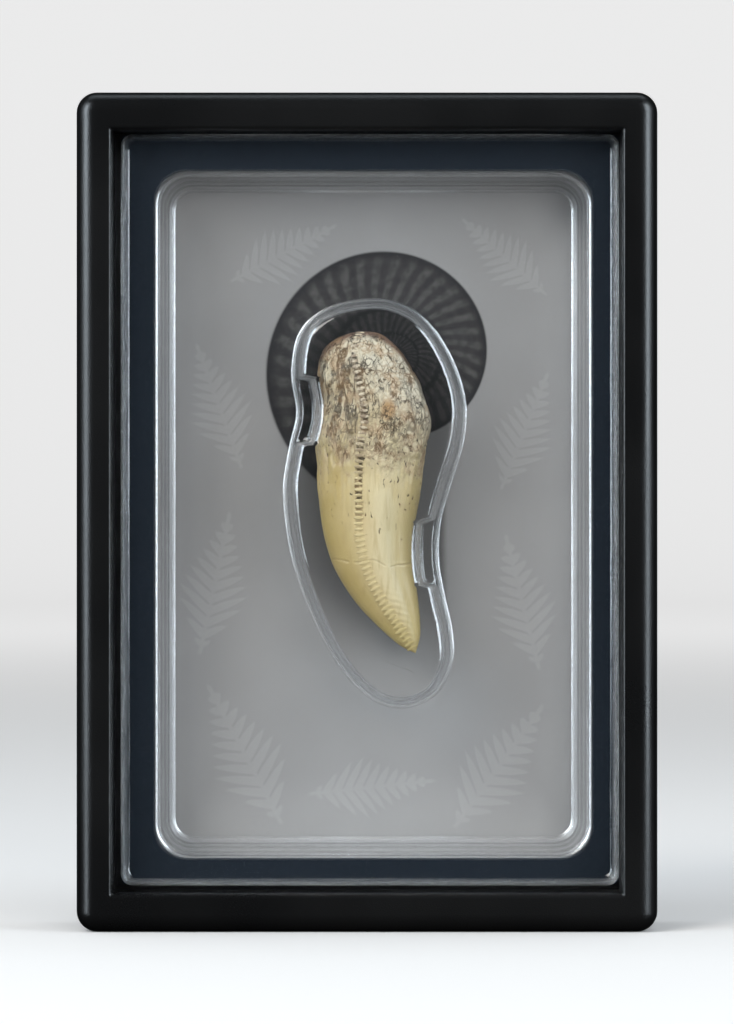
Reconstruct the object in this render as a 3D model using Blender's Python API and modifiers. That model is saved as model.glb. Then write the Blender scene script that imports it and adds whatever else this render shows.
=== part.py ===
"""Tyrannosaurus tooth in a small display frame.

The frame stands on its bottom edge and faces -Y. Inside it, from front to back, are a clear
formed blister that lies on a dark mount, the tooth in the blister's bubble, a grey card and a
back board. Metres, +Z up, with the origin in the middle of the frame's foot.
"""

import math

import bmesh
import bpy
from mathutils import Matrix, Vector, noise

MM = 0.001
GAP = 0.3 * MM  # free space kept between pieces that lie against each other

# The frame moulding.
FRAME_WIDTH = 90.0 * MM
FRAME_HEIGHT = 130.0 * MM
FRAME_DEPTH = 20.0 * MM
CORNER_RADIUS = 3.2 * MM
FRONT_RADIUS = 2.9 * MM
ROUNDING_STEPS = 5
OPENING_WIDTH = 78.6 * MM
OPENING_HEIGHT = 117.8 * MM
OPENING_CHAMFER = 0.45 * MM
LEDGE_WIDTH = 3.3 * MM
LEDGE_FRONT_Y = -2.9 * MM
LEDGE_BACK_Y = -1.3 * MM
REBATE_MARGIN = 1.4 * MM  # how much wider than the opening the rebate for the board is
REBATE_FRONT_Y = 6.1 * MM

# The dark mount, the card and the board are flat sheets.
MOUNT_FRONT_Y = -4.3 * MM
MOUNT_THICKNESS = 1.1 * MM
MOUNT_CENTRE = (0.45 * MM, 65.35 * MM)
MOUNT_SIZE = (77.2 * MM, 116.4 * MM)
WINDOW_CENTRE = (1.0 * MM, 64.6 * MM)
WINDOW_SIZE = (68.0 * MM, 107.0 * MM)
WINDOW_RADIUS = 5.0 * MM
CARD_FRONT_Y = 6.4 * MM
CARD_THICKNESS = 0.5 * MM
BOARD_THICKNESS = 1.8 * MM
SHEET_RADIUS = 1.0 * MM

# The blister, drawn by the front face of its sheet.
SHEET = 0.4 * MM
FLANGE_Y = MOUNT_FRONT_Y - GAP - SHEET
FLOOR_Y = CARD_FRONT_Y - GAP - SHEET
BUBBLE_TOP_Y = -7.2 * MM
SHELF_Y = -0.4 * MM  # depth of the shelves in the two grip dents
DENT_REACH = 1.9 * MM
DENT_FADE = 0.9 * MM
LEFT_DENT = (76.4 * MM, 85.4 * MM)  # lowest and highest z
RIGHT_DENT = (54.2 * MM, 63.2 * MM)
RECTANGLE_STEPS = 4
BUBBLE_POINTS = 104

# Points on the foot of the bubble's wall, x and z in millimetres, clockwise from the top.
BUBBLE_OUTLINE = [
    (1.3, 98.4), (6.6, 97.0), (10.5, 93.6), (13.7, 88.0), (15.3, 82.0), (14.9, 76.0),
    (12.8, 69.0), (11.3, 63.4), (11.0, 57.5), (11.9, 52.0), (13.1, 46.5), (13.2, 41.5),
    (10.6, 36.4), (5.7, 34.4), (0.8, 35.8), (-4.0, 40.6), (-8.2, 48.2), (-11.5, 57.6),
    (-12.9, 68.0), (-12.0, 75.0), (-10.8, 80.6), (-11.6, 87.2), (-10.2, 93.6), (-5.6, 97.2),
]

# The tooth: pairs of points where a section meets the outline, in millimetres, left x and z
# then right x and z, from the end of the root to the tip of the crown.
TOOTH_SECTIONS = [
    (-0.7, 93.3, -0.7, 93.3), (-3.0, 92.9, 1.7, 93.0), (-5.3, 91.6, 3.8, 91.7),
    (-7.0, 89.4, 5.7, 89.6), (-7.6, 86.6, 7.7, 86.3), (-7.3, 82.8, 9.3, 82.8),
    (-7.5, 79.0, 10.1, 79.4), (-7.9, 75.2, 9.3, 75.4), (-7.9, 71.0, 8.7, 71.0),
    (-7.5, 66.5, 8.1, 66.5), (-6.8, 61.6, 7.3, 61.9), (-5.5, 57.1, 7.2, 58.2),
    (-3.6, 53.5, 7.4, 55.2), (-1.4, 50.4, 7.8, 52.8), (0.9, 47.9, 8.1, 50.4),
    (3.1, 45.8, 8.3, 48.0), (5.3, 44.0, 8.3, 45.5), (7.6, 42.9, 7.6, 42.9),
]
TOOTH_THICKNESS_RATIO = 0.70  # thickness over width
TOOTH_BACK_Y = 6.1 * MM
TOOTH_AROUND = 42
TOOTH_ALONG = 46
RIDGE_ANGLE = math.radians(101.5)  # where the toothed ridge runs, from the right round the front
RIDGE_WIDTH = math.radians(9.0)
RIDGE_HEIGHT = 0.22 * MM
ROOT_LUMP = 0.42 * MM
ROOT_GROOVE = 0.30 * MM
ROOT_FADE = (63.0 * MM, 74.0 * MM)  # z from the smooth crown to the rough root


def clear_scene():
    for old in list(bpy.data.objects):
        bpy.data.objects.remove(old)


def make_collection(name, hidden=False):
    collection = bpy.data.collections.new(name)
    bpy.context.scene.collection.children.link(collection)
    collection.hide_render = hidden
    return collection


def make_material(name, colour, roughness, metallic=0.0, clear=0.0):
    material = bpy.data.materials.new(name)
    material.use_nodes = True
    shader = material.node_tree.nodes["Principled BSDF"]
    shader.inputs["Base Color"].default_value = (*colour, 1.0)
    shader.inputs["Roughness"].default_value = roughness
    shader.inputs["Metallic"].default_value = metallic
    shader.inputs["Transmission Weight"].default_value = clear
    material.diffuse_color = (*colour, 1.0)
    return material


def add_object(name, bm, collection, material=None):
    mesh = bpy.data.meshes.new(name)
    bm.normal_update()
    bm.to_mesh(mesh)
    bm.free()
    obj = bpy.data.objects.new(name, mesh)
    collection.objects.link(obj)
    if material:
        mesh.materials.append(material)
    return obj


def smooth_step(value, low, high):
    t = min(max((value - low) / (high - low), 0.0), 1.0)
    return t * t * (3.0 - 2.0 * t)


def block(size, low_y, high_y, centre):
    """A box in a fresh bmesh: size and centre are (x, z)."""
    bm = bmesh.new()
    middle = Vector((centre[0], (low_y + high_y) / 2, centre[1]))
    scale = Matrix.Diagonal((size[0], high_y - low_y, size[1], 1.0))
    bmesh.ops.create_cube(bm, size=1.0, matrix=Matrix.Translation(middle) @ scale)
    return bm


def runs_along_y(edge):
    a, b = (v.co for v in edge.verts)
    return abs(a.x - b.x) + abs(a.z - b.z) < 1e-7


def round_corners(bm, radius, steps):
    """Rounds the four edges of a box that run from front to back."""
    edges = [e for e in bm.edges if runs_along_y(e)]
    bmesh.ops.bevel(bm, geom=edges, offset=radius, segments=steps, profile=0.5, affect="EDGES")


def cut(obj, cutter_bm, name, cutters):
    """Takes a cutter away from obj with a Boolean modifier."""
    cutter = add_object(name, cutter_bm, cutters)
    cutter.hide_render = True
    cutter.display_type = "WIRE"
    modifier = obj.modifiers.new(name, "BOOLEAN")
    modifier.operation = "DIFFERENCE"
    modifier.object = cutter


def build_frame(parts, cutters, material):
    """One moulding: a bar with a rounded front, and a thin ledge inside it for the mount."""
    front, back = -FRAME_DEPTH / 2, FRAME_DEPTH / 2
    middle = (0.0, FRAME_HEIGHT / 2)
    bm = block((FRAME_WIDTH, FRAME_HEIGHT), front, back, middle)
    round_corners(bm, CORNER_RADIUS, ROUNDING_STEPS)
    front_edges = [e for e in bm.edges if all(v.co.y < front + 1e-6 for v in e.verts)]
    bmesh.ops.bevel(
        bm,
        geom=front_edges,
        offset=FRONT_RADIUS,
        segments=ROUNDING_STEPS,
        profile=0.5,
        affect="EDGES",
    )
    frame = add_object("frame", bm, parts, material)

    beyond = 2 * MM  # how far the cutters reach past the faces
    opening = (OPENING_WIDTH, OPENING_HEIGHT)
    recess = block(opening, front - beyond, LEDGE_FRONT_Y, middle)
    cut(frame, recess, "recess_cutter", cutters)

    chamfer = block(opening, front - OPENING_CHAMFER, front + OPENING_CHAMFER, middle)
    for vert in chamfer.verts:
        if vert.co.y < front:
            vert.co.x += math.copysign(2 * OPENING_CHAMFER, vert.co.x)
            vert.co.z += math.copysign(2 * OPENING_CHAMFER, vert.co.z - middle[1])
    cut(frame, chamfer, "chamfer_cutter", cutters)

    hole = tuple(side - 2 * LEDGE_WIDTH for side in opening)
    ledge = block(hole, LEDGE_FRONT_Y - beyond, LEDGE_BACK_Y + beyond, middle)
    cut(frame, ledge, "ledge_cutter", cutters)

    hollow = block(opening, LEDGE_BACK_Y, REBATE_FRONT_Y + beyond, middle)
    cut(frame, hollow, "hollow_cutter", cutters)

    rebate_size = tuple(side + 2 * REBATE_MARGIN for side in opening)
    rebate = block(rebate_size, REBATE_FRONT_Y, back + beyond, middle)
    round_corners(rebate, SHEET_RADIUS, 2)
    cut(frame, rebate, "rebate_cutter", cutters)


def build_mount(parts, cutters, material):
    """A dark sheet with a round-cornered window, lying on the frame's ledge."""
    back = MOUNT_FRONT_Y + MOUNT_THICKNESS
    bm = block(MOUNT_SIZE, MOUNT_FRONT_Y, back, MOUNT_CENTRE)
    mount = add_object("mount", bm, parts, material)
    window = block(WINDOW_SIZE, MOUNT_FRONT_Y - MM, back + MM, WINDOW_CENTRE)
    round_corners(window, WINDOW_RADIUS, ROUNDING_STEPS)
    cut(mount, window, "window_cutter", cutters)


def build_sheet(name, front_y, thickness, parts, material):
    """A plain sheet that fills the rebate in the frame's back, such as the card."""
    margin = 2 * REBATE_MARGIN - 2 * GAP
    size = (OPENING_WIDTH + margin, OPENING_HEIGHT + margin)
    bm = block(size, front_y, front_y + thickness, (0.0, FRAME_HEIGHT / 2))
    round_corners(bm, SHEET_RADIUS, 2)
    add_object(name, bm, parts, material)


def rectangle_ring(size, radius, centre):
    """Points (x, z) round a rectangle with round corners, anticlockwise, the same count each."""
    half_x, half_z = size[0] / 2 - radius, size[1] / 2 - radius
    points = []
    for corner, (side_x, side_z) in enumerate(((1, 1), (-1, 1), (-1, -1), (1, -1))):
        arc = []
        for step in range(RECTANGLE_STEPS + 1):
            angle = math.pi / 2 * (corner + step / RECTANGLE_STEPS)
            x = centre[0] + side_x * half_x + radius * math.cos(angle)
            z = centre[1] + side_z * half_z + radius * math.sin(angle)
            arc.append(Vector((x, z)))
        points += arc
    spread = []
    for index, point in enumerate(points):
        spread.append(point)
        after = points[(index + 1) % len(points)]
        if (after - point).length > 4 * radius:
            spread += [point.lerp(after, part / 5) for part in range(1, 5)]
    return spread


def catmull_rom(a, b, c, d, t):
    """The point at share t of the way from b to c on a smooth curve through all four."""
    return (
        b * 2
        + (c - a) * t
        + (a * 2 - b * 5 + c * 4 - d) * t * t
        + (b * 3 - a - c * 3 + d) * t * t * t
    ) / 2


def evenly_spaced(points, count):
    """count points at equal distances along a closed line."""
    lengths = [0.0]
    for index, point in enumerate(points):
        lengths.append(lengths[-1] + (points[(index + 1) % len(points)] - point).length)
    spaced, piece = [], 0
    for number in range(count):
        target = lengths[-1] * number / count
        while lengths[piece + 1] <= target:
            piece += 1
        share = (target - lengths[piece]) / (lengths[piece + 1] - lengths[piece])
        spaced.append(points[piece].lerp(points[(piece + 1) % len(points)], share))
    return spaced


def bubble_foot():
    """Even points (x, z) round the foot of the bubble, anticlockwise."""
    marks = [Vector((x * MM, z * MM)) for x, z in reversed(BUBBLE_OUTLINE)]
    count, fine = len(marks), []
    for index in range(count):
        near = [marks[(index + step) % count] for step in (-1, 0, 1, 2)]
        fine += [catmull_rom(*near, t / 12) for t in range(12)]
    return evenly_spaced(fine, BUBBLE_POINTS)


def dent(point):
    """1 in the two grip dents of the bubble's wall, and 0 elsewhere."""
    low, high = LEFT_DENT if point.x < 0.0 else RIGHT_DENT
    fade = DENT_FADE
    rise = smooth_step(point.y, low - fade, low + fade)
    return rise * (1.0 - smooth_step(point.y, high - fade, high + fade))


def inset(points, distances):
    """Moves each point of a closed anticlockwise line inwards by its own distance."""
    moved = []
    for index, point in enumerate(points):
        along = (points[(index + 1) % len(points)] - points[index - 1]).normalized()
        moved.append(point + Vector((-along.y, along.x)) * distances[index])
    return moved


def blister_rings():
    """The rings (points, y) that the blister's front face runs through, from the rim inwards."""
    def frame_ring(inwards, radius, y):
        size = [side - 2 * inwards for side in MOUNT_SIZE]
        return rectangle_ring(size, radius, MOUNT_CENTRE), y

    def basin_ring(inwards, radius, y):
        size = [side - 2 * inwards for side in WINDOW_SIZE]
        return rectangle_ring(size, radius, WINDOW_CENTRE), y

    outer = [
        frame_ring(0.4 * MM, 1.5 * MM, FLANGE_Y - 2.6 * MM),
        frame_ring(0.8 * MM, 1.5 * MM, FLANGE_Y - 0.7 * MM),
        frame_ring(1.1 * MM, 1.6 * MM, FLANGE_Y - 0.2 * MM),
        frame_ring(1.7 * MM, 1.8 * MM, FLANGE_Y),
        basin_ring(0.0 * MM, 5.0 * MM, FLANGE_Y),
        basin_ring(0.6 * MM, 4.8 * MM, FLANGE_Y + 0.3 * MM),
        basin_ring(0.9 * MM, 4.6 * MM, FLANGE_Y + 1.0 * MM),
        basin_ring(2.3 * MM, 3.3 * MM, FLOOR_Y - 0.7 * MM),
        basin_ring(2.55 * MM, 3.1 * MM, FLOOR_Y - 0.2 * MM),
        basin_ring(3.1 * MM, 2.8 * MM, FLOOR_Y),
    ]

    foot = bubble_foot()
    dents = [dent(point) for point in foot]

    def bubble_ring(inwards, share, y):
        """share is how much of the grip dents this ring takes."""
        distances = [inwards + share * DENT_REACH * amount for amount in dents]
        return inset(foot, distances), y

    bubble = [
        bubble_ring(-0.5 * MM, 0.0, FLOOR_Y),
        bubble_ring(0.0 * MM, 0.0, FLOOR_Y - 0.5 * MM),
        bubble_ring(0.4 * MM, 0.05, SHELF_Y + 0.4 * MM),
        bubble_ring(0.5 * MM, 0.3, SHELF_Y),
        bubble_ring(0.6 * MM, 0.9, SHELF_Y - 0.2 * MM),
        bubble_ring(1.1 * MM, 1.0, BUBBLE_TOP_Y + 1.7 * MM),
        bubble_ring(1.6 * MM, 1.0, BUBBLE_TOP_Y + 0.9 * MM),
        bubble_ring(2.5 * MM, 1.0, BUBBLE_TOP_Y + 0.4 * MM),
        bubble_ring(5.5 * MM, 0.0, BUBBLE_TOP_Y),
    ]
    return outer, bubble


def add_ring(bm, points, y):
    verts = [bm.verts.new((point.x, y, point.y)) for point in points]
    return [bm.edges.new((vert, verts[i - 1])) for i, vert in enumerate(verts)]


def build_blister(parts, material):
    """A thin clear sheet formed as a tray with a raised rim, and a bubble over the tooth."""
    bm = bmesh.new()
    outer, bubble = blister_rings()
    loops = [[add_ring(bm, *ring) for ring in group] for group in (outer, bubble)]
    for group in loops:
        for first, second in zip(group, group[1:]):
            bmesh.ops.bridge_loops(bm, edges=first + second)
    bmesh.ops.triangle_fill(bm, use_beauty=True, edges=loops[0][-1] + loops[1][0])
    bmesh.ops.edgenet_fill(bm, edges=loops[1][-1])
    bmesh.ops.triangulate(bm, faces=bm.faces, quad_method="SHORT_EDGE")
    bmesh.ops.recalc_face_normals(bm, faces=bm.faces)
    bm.normal_update()
    facing_back = sum(face.normal.y * face.calc_area() for face in bm.faces)
    if facing_back > 0:
        bmesh.ops.reverse_faces(bm, faces=bm.faces)
    blister = add_object("blister", bm, parts, material)
    shell = blister.modifiers.new("sheet", "SOLIDIFY")
    shell.thickness = SHEET
    shell.offset = -1.0
    shell.use_quality_normals = True


def section_knots():
    """How far along the outline each section lies, as a share from 0 to 1."""
    knots = [0.0]
    for a, b in zip(TOOTH_SECTIONS, TOOTH_SECTIONS[1:]):
        left = math.hypot(b[0] - a[0], b[1] - a[1])
        right = math.hypot(b[2] - a[2], b[3] - a[3])
        knots.append(knots[-1] + (left + right) / 2)
    return [knot / knots[-1] for knot in knots]


def tooth_section(share, knots):
    """The left and right outline points (x, z) of the section at share of the way to the tip."""
    last = len(TOOTH_SECTIONS) - 1
    piece = next(i for i in range(last) if share <= knots[i + 1] or i == last - 1)
    t = (share - knots[piece]) / (knots[piece + 1] - knots[piece])
    near = [TOOTH_SECTIONS[min(max(piece + step, 0), last)] for step in (-1, 0, 1, 2)]
    left = catmull_rom(*(Vector(section[:2]) for section in near), t) * MM
    right = catmull_rom(*(Vector(section[2:]) for section in near), t) * MM
    return left, right


def root_relief(angle, z):
    """Height of the root's lumps and lengthwise grooves, which fade out on the crown."""
    around = Vector((math.cos(angle), math.sin(angle), 0.0))
    height = Vector((0.0, 0.0, z / MM))
    lumps = noise.fractal(around * 1.6 + height * 0.16, 1.0, 2.0, 3)
    grooves = noise.ridged_multi_fractal(around * 3.2 + height * 0.05, 0.9, 2.1, 3, 1.0, 2.0)
    return ROOT_LUMP * lumps + ROOT_GROOVE * (grooves - 1.0)


def tooth_point(angle, share, knots):
    """A point of the tooth's surface: angle goes from its right side round the front."""
    left, right = tooth_section(share, knots)
    centre, half = (left + right) / 2, (right - left) / 2
    thickness = half.length * TOOTH_THICKNESS_RATIO
    x_z = centre + half * math.cos(angle)
    away = (angle - RIDGE_ANGLE) / RIDGE_WIDTH
    swell = min(1.0, half.length / (4 * MM))
    raised = RIDGE_HEIGHT * math.exp(-away * away) * swell
    root = smooth_step(centre.y, *ROOT_FADE)
    raised += root * swell * root_relief(angle, x_z.y)
    outward = Vector((half.normalized().x * math.cos(angle), half.normalized().y * math.cos(angle)))
    x_z = x_z + outward * raised
    return x_z.x, -math.sin(angle) * (thickness + raised), x_z.y


def build_tooth(parts, material):
    """A sphere drawn out along the sections of the tooth, root up and tip down."""
    bm = bmesh.new()
    bmesh.ops.create_uvsphere(bm, u_segments=TOOTH_AROUND, v_segments=TOOTH_ALONG, radius=1.0)
    knots = section_knots()
    for vert in bm.verts:
        share = math.acos(min(max(vert.co.z, -1.0), 1.0)) / math.pi
        angle = math.atan2(vert.co.y, vert.co.x)
        vert.co = tooth_point(angle, share, knots)
    furthest_back = max(vert.co.y for vert in bm.verts)
    bmesh.ops.translate(bm, verts=bm.verts, vec=(0.0, TOOTH_BACK_Y - furthest_back, 0.0))
    bmesh.ops.recalc_face_normals(bm, faces=bm.faces)
    tooth = add_object("tooth", bm, parts, material)
    tooth.data.shade_smooth()


def main():
    clear_scene()
    parts = make_collection("framed_tooth")
    cutters = make_collection("cutters", hidden=True)
    black = make_material("black_plastic", (0.009, 0.009, 0.009), 0.42)
    navy = make_material("navy_mount", (0.012, 0.017, 0.026), 0.5)
    clear = make_material("clear_plastic", (1.0, 1.0, 1.0), 0.04, clear=1.0)
    grey = make_material("grey_card", (0.26, 0.26, 0.26), 0.6)
    board = make_material("back_board", (0.02, 0.02, 0.02), 0.8)
    ivory = make_material("tooth_ivory", (0.56, 0.48, 0.28), 0.38)

    build_frame(parts, cutters, black)
    build_mount(parts, cutters, navy)
    build_blister(parts, clear)
    build_tooth(parts, ivory)
    build_sheet("card", CARD_FRONT_Y, CARD_THICKNESS, parts, grey)
    board_y = CARD_FRONT_Y + CARD_THICKNESS + GAP
    build_sheet("back_board", board_y, BOARD_THICKNESS, parts, board)


main()
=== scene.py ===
# %% [markdown]
# # A tyrannosaurus tooth in a small display frame
#
# The object is a painted replica of a tooth. It stands in a clear formed blister, in front of a
# grey printed card, inside a black plastic frame of 90 x 130 mm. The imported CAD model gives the
# place and size of every piece, and this lesson gives them their surfaces: first the studio,
# then the frame and its sheets, then the tooth, and the clear blister last.

# %% Load the CAD model and keep its box
import math

import bmesh
import bpy
import numpy as np
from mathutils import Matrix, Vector, noise


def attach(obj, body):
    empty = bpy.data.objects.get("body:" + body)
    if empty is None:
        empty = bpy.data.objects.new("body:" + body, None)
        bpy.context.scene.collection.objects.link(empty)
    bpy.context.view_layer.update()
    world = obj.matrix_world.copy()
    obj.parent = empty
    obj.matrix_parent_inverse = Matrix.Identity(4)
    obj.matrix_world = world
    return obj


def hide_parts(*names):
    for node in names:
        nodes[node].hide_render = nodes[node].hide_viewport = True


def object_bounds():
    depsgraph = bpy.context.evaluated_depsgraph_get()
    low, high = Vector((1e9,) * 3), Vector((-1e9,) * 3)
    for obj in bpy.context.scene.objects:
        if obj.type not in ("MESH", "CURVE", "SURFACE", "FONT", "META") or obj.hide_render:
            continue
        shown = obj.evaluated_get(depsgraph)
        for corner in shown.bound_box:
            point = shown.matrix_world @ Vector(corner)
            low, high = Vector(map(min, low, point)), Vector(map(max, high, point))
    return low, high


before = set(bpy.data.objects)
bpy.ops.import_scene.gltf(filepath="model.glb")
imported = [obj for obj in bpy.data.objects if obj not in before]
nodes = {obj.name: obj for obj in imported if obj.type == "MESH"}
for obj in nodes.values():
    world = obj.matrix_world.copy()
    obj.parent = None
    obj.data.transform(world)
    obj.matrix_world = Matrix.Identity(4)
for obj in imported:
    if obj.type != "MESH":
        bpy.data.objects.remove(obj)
cad_box = [list(corner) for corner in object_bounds()]
MM = 0.001
PER_METRE = 1000.0  # millimetres in a metre, for shaders that think in millimetres
GAP = 0.3 * MM
print("CAD box:", [[round(v, 4) for v in corner] for corner in cad_box])

# %% [markdown]
# ## Small helpers for shader nodes
#
# A procedural material is a graph of nodes. Adding them by hand takes many lines, so a few
# helpers do the wiring. `put` adds a node and fills its inputs, with a number or with another
# node's output. `calc` adds a Math node, and `plus`, `times` and their like are short forms of
# it. `span` maps one range to another, and `blend` mixes two colours.


# %% Shader helpers
def fill(tree, socket, value):
    """Sets a socket to a value, or links another node's output to it."""
    if isinstance(value, bpy.types.NodeSocket):
        tree.links.new(value, socket)
    elif isinstance(value, tuple) and socket.type == "RGBA" and len(value) == 3:
        socket.default_value = (*value, 1.0)
    else:
        socket.default_value = value


def put(tree, kind, inputs=None, **settings):
    """Adds a node, sets its settings and fills the inputs named or numbered in a dict."""
    node = tree.nodes.new(kind)
    for name, value in settings.items():
        setattr(node, name, value)
    for name, value in (inputs or {}).items():
        fill(tree, node.inputs[name], value)
    return node


def calc(tree, operation, *values, clamp=False):
    node = tree.nodes.new("ShaderNodeMath")
    node.operation, node.use_clamp = operation, clamp
    for index, value in enumerate(values):
        fill(tree, node.inputs[index], value)
    return node.outputs[0]


def plus(tree, a, b):
    return calc(tree, "ADD", a, b)


def minus(tree, a, b):
    return calc(tree, "SUBTRACT", a, b)


def times(tree, a, b):
    return calc(tree, "MULTIPLY", a, b)


def divided(tree, a, b):
    return calc(tree, "DIVIDE", a, b)


def larger(tree, a, b):
    return calc(tree, "MAXIMUM", a, b)


def unsigned(tree, value):
    return calc(tree, "ABSOLUTE", value)


def span(tree, value, low, high, to_low=0.0, to_high=1.0, smooth=True):
    """Maps value from low..high to to_low..to_high, smoothly by default."""
    kind = "SMOOTHSTEP" if smooth else "LINEAR"
    ends = {"Value": value, "From Min": low, "From Max": high, "To Min": to_low, "To Max": to_high}
    return put(tree, "ShaderNodeMapRange", ends, interpolation_type=kind).outputs[0]


def blend(tree, share, a, b, kind="MIX"):
    """Mixes two colours."""
    node = put(tree, "ShaderNodeMix", data_type="RGBA", blend_type=kind)
    for socket, value in zip((node.inputs[0], node.inputs[6], node.inputs[7]), (share, a, b)):
        fill(tree, socket, value)
    return node.outputs[2]


def add_object(name, data):
    """Puts a mesh, a lamp or a camera in the scene."""
    made = bpy.data.objects.new(name, data)
    bpy.context.scene.collection.objects.link(made)
    return made


def new_material(name):
    """A material with its node tree, its Principled BSDF and its Object coordinates."""
    material = bpy.data.materials.new(name)
    material.use_nodes = True
    tree = material.node_tree
    place = put(tree, "ShaderNodeTexCoord").outputs["Object"]
    return material, tree, tree.nodes["Principled BSDF"], place


# %% [markdown]
# ## A grain shared by all finishes
#
# No surface is perfectly even. Moulded plastic has a fine grain, card has fibres, and paint has
# brush texture. One node group makes such a grain from two noises, a fine one and a broad one,
# so that each material can ask for its own scale. It gives a value for colour and roughness,
# and a height for bump.


# %% The grain group
def make_grain_group():
    group = bpy.data.node_groups.new("surface_grain", "ShaderNodeTree")
    for name, kind, default in (
        ("Vector", "NodeSocketVector", None),
        ("Fine per metre", "NodeSocketFloat", 3000.0),
        ("Broad per metre", "NodeSocketFloat", 60.0),
    ):
        socket = group.interface.new_socket(name, in_out="INPUT", socket_type=kind)
        if default is not None:
            socket.default_value = default
    for name in ("Fine", "Broad", "Height"):
        group.interface.new_socket(name, in_out="OUTPUT", socket_type="NodeSocketFloat")
    inside = put(group, "NodeGroupInput").outputs
    ends = put(group, "NodeGroupOutput").inputs
    fine = put(
        group,
        "ShaderNodeTexNoise",
        {"Vector": inside["Vector"], "Scale": inside["Fine per metre"], "Detail": 3.0},
    ).outputs[0]
    broad = put(
        group,
        "ShaderNodeTexNoise",
        {"Vector": inside["Vector"], "Scale": inside["Broad per metre"], "Detail": 2.0},
    ).outputs[0]
    fill(group, ends["Fine"], fine)
    fill(group, ends["Broad"], broad)
    fill(group, ends["Height"], times(group, fine, span(group, broad, 0.3, 0.7, 0.6)))
    return group


GRAIN = make_grain_group()


def grain(tree, place, fine, broad):
    """Puts the grain group in a material and returns its outputs."""
    node = put(tree, "ShaderNodeGroup", node_tree=GRAIN)
    for name, value in (("Vector", place), ("Fine per metre", fine), ("Broad per metre", broad)):
        fill(tree, node.inputs[name], value)
    return node.outputs


def bump(tree, shader, height, distance, strength=1.0):
    node = put(tree, "ShaderNodeBump", {"Height": height, "Distance": distance})
    node.inputs["Strength"].default_value = strength
    fill(tree, shader.inputs["Normal"], node.outputs[0])


# %% [markdown]
# ## The studio
#
# The frame was photographed straight from the front in very soft light. A round pale bowl
# serves as floor and backdrop, so that every side view has the same plain ground. It is a
# profile turned about the Z axis with a Screw modifier: flat floor, a wide curve, then a wall.


# %% Floor and backdrop
FLOOR_RADIUS = 2.4
COVE_RADIUS = 1.0
WALL_TOP = 2.6


def make_bowl():
    steps = 12
    profile = [(0.0, 0.0), (FLOOR_RADIUS, 0.0)]
    for step in range(1, steps + 1):
        angle = math.pi / 2 * step / steps
        x = FLOOR_RADIUS + COVE_RADIUS * math.sin(angle)
        profile.append((x, COVE_RADIUS * (1 - math.cos(angle))))
    profile.append((FLOOR_RADIUS + COVE_RADIUS, WALL_TOP))
    mesh = bpy.data.meshes.new("studio_bowl")
    edges = [(i, i + 1) for i in range(len(profile) - 1)]
    mesh.from_pydata([(x, 0.0, z) for x, z in profile], edges, [])
    bowl = add_object("studio_bowl", mesh)
    turn = bowl.modifiers.new("turn", "SCREW")
    turn.steps = turn.render_steps = 96
    turn.use_merge_vertices = True
    turn.merge_threshold = 0.00005
    turn.use_smooth_shade = True
    material, tree, shader, place = new_material("studio_paper")
    shader.inputs["Base Color"].default_value = (0.80, 0.80, 0.80, 1.0)
    shader.inputs["Roughness"].default_value = 0.9
    shader.inputs["Emission Color"].default_value = (1.0, 1.0, 1.0, 1.0)
    # Painted light: the paper glows a little, more the farther it lies from the object, so the far
    # floor and the wall stay pale.
    away = put(tree, "ShaderNodeVectorMath", {0: place}, operation="LENGTH").outputs["Value"]
    fill(tree, shader.inputs["Emission Strength"], span(tree, away, 0.25, 1.8, 0.0, 0.42))
    # Black plastic amid white paper would look grey, so reflections leave the paper out. The
    # glossy depth also leaves it out of a reflection that clear plastic has passed on.
    mirrored = calc(tree, "MINIMUM", put(tree, "ShaderNodeLightPath").outputs["Glossy Depth"], 1.0)
    dark = put(tree, "ShaderNodeEmission", {"Strength": 0.0})
    mix = put(tree, "ShaderNodeMixShader", {0: mirrored, 1: shader.outputs[0], 2: dark.outputs[0]})
    fill(tree, tree.nodes["Material Output"].inputs["Surface"], mix.outputs[0])
    mesh.materials.append(material)
    bowl.visible_glossy = bowl.visible_diffuse = False


make_bowl()

# %% [markdown]
# ### Lamps
#
# Clear plastic shows itself only by what it reflects, so tall strip lamps stand on both sides
# of the object, with a long one above it, and draw bright lines along the edges of the blister
# and the rounded frame. Two narrow lamps beside them light reflections only, which makes those
# lines stronger without more light on the card. A large panel high in front gives the tooth its
# soft light from above left, and a pale sky fills the shadows. Paper and sky are left out of
# reflections, as a photographer hangs black cloth round the camera to keep a product dark.

# %% Lamps and sky
MIDDLE = Vector((0.0, 0.0, 0.065))


COOL, WARM = (0.82, 0.92, 1.0), (1.0, 0.965, 0.92)


def add_panel(name, place, size, watts, colour):
    """A rectangular lamp that faces the object and isn't seen by the camera itself."""
    data = bpy.data.lights.new(name, "AREA")
    data.shape = "RECTANGLE"
    data.size, data.size_y = size
    data.energy, data.color = watts, colour
    lamp = add_object(name, data)
    lamp.location = place
    lamp.rotation_euler = (Vector(place) - MIDDLE).to_track_quat("Z", "Y").to_euler()
    lamp.visible_camera = False
    return lamp


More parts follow.
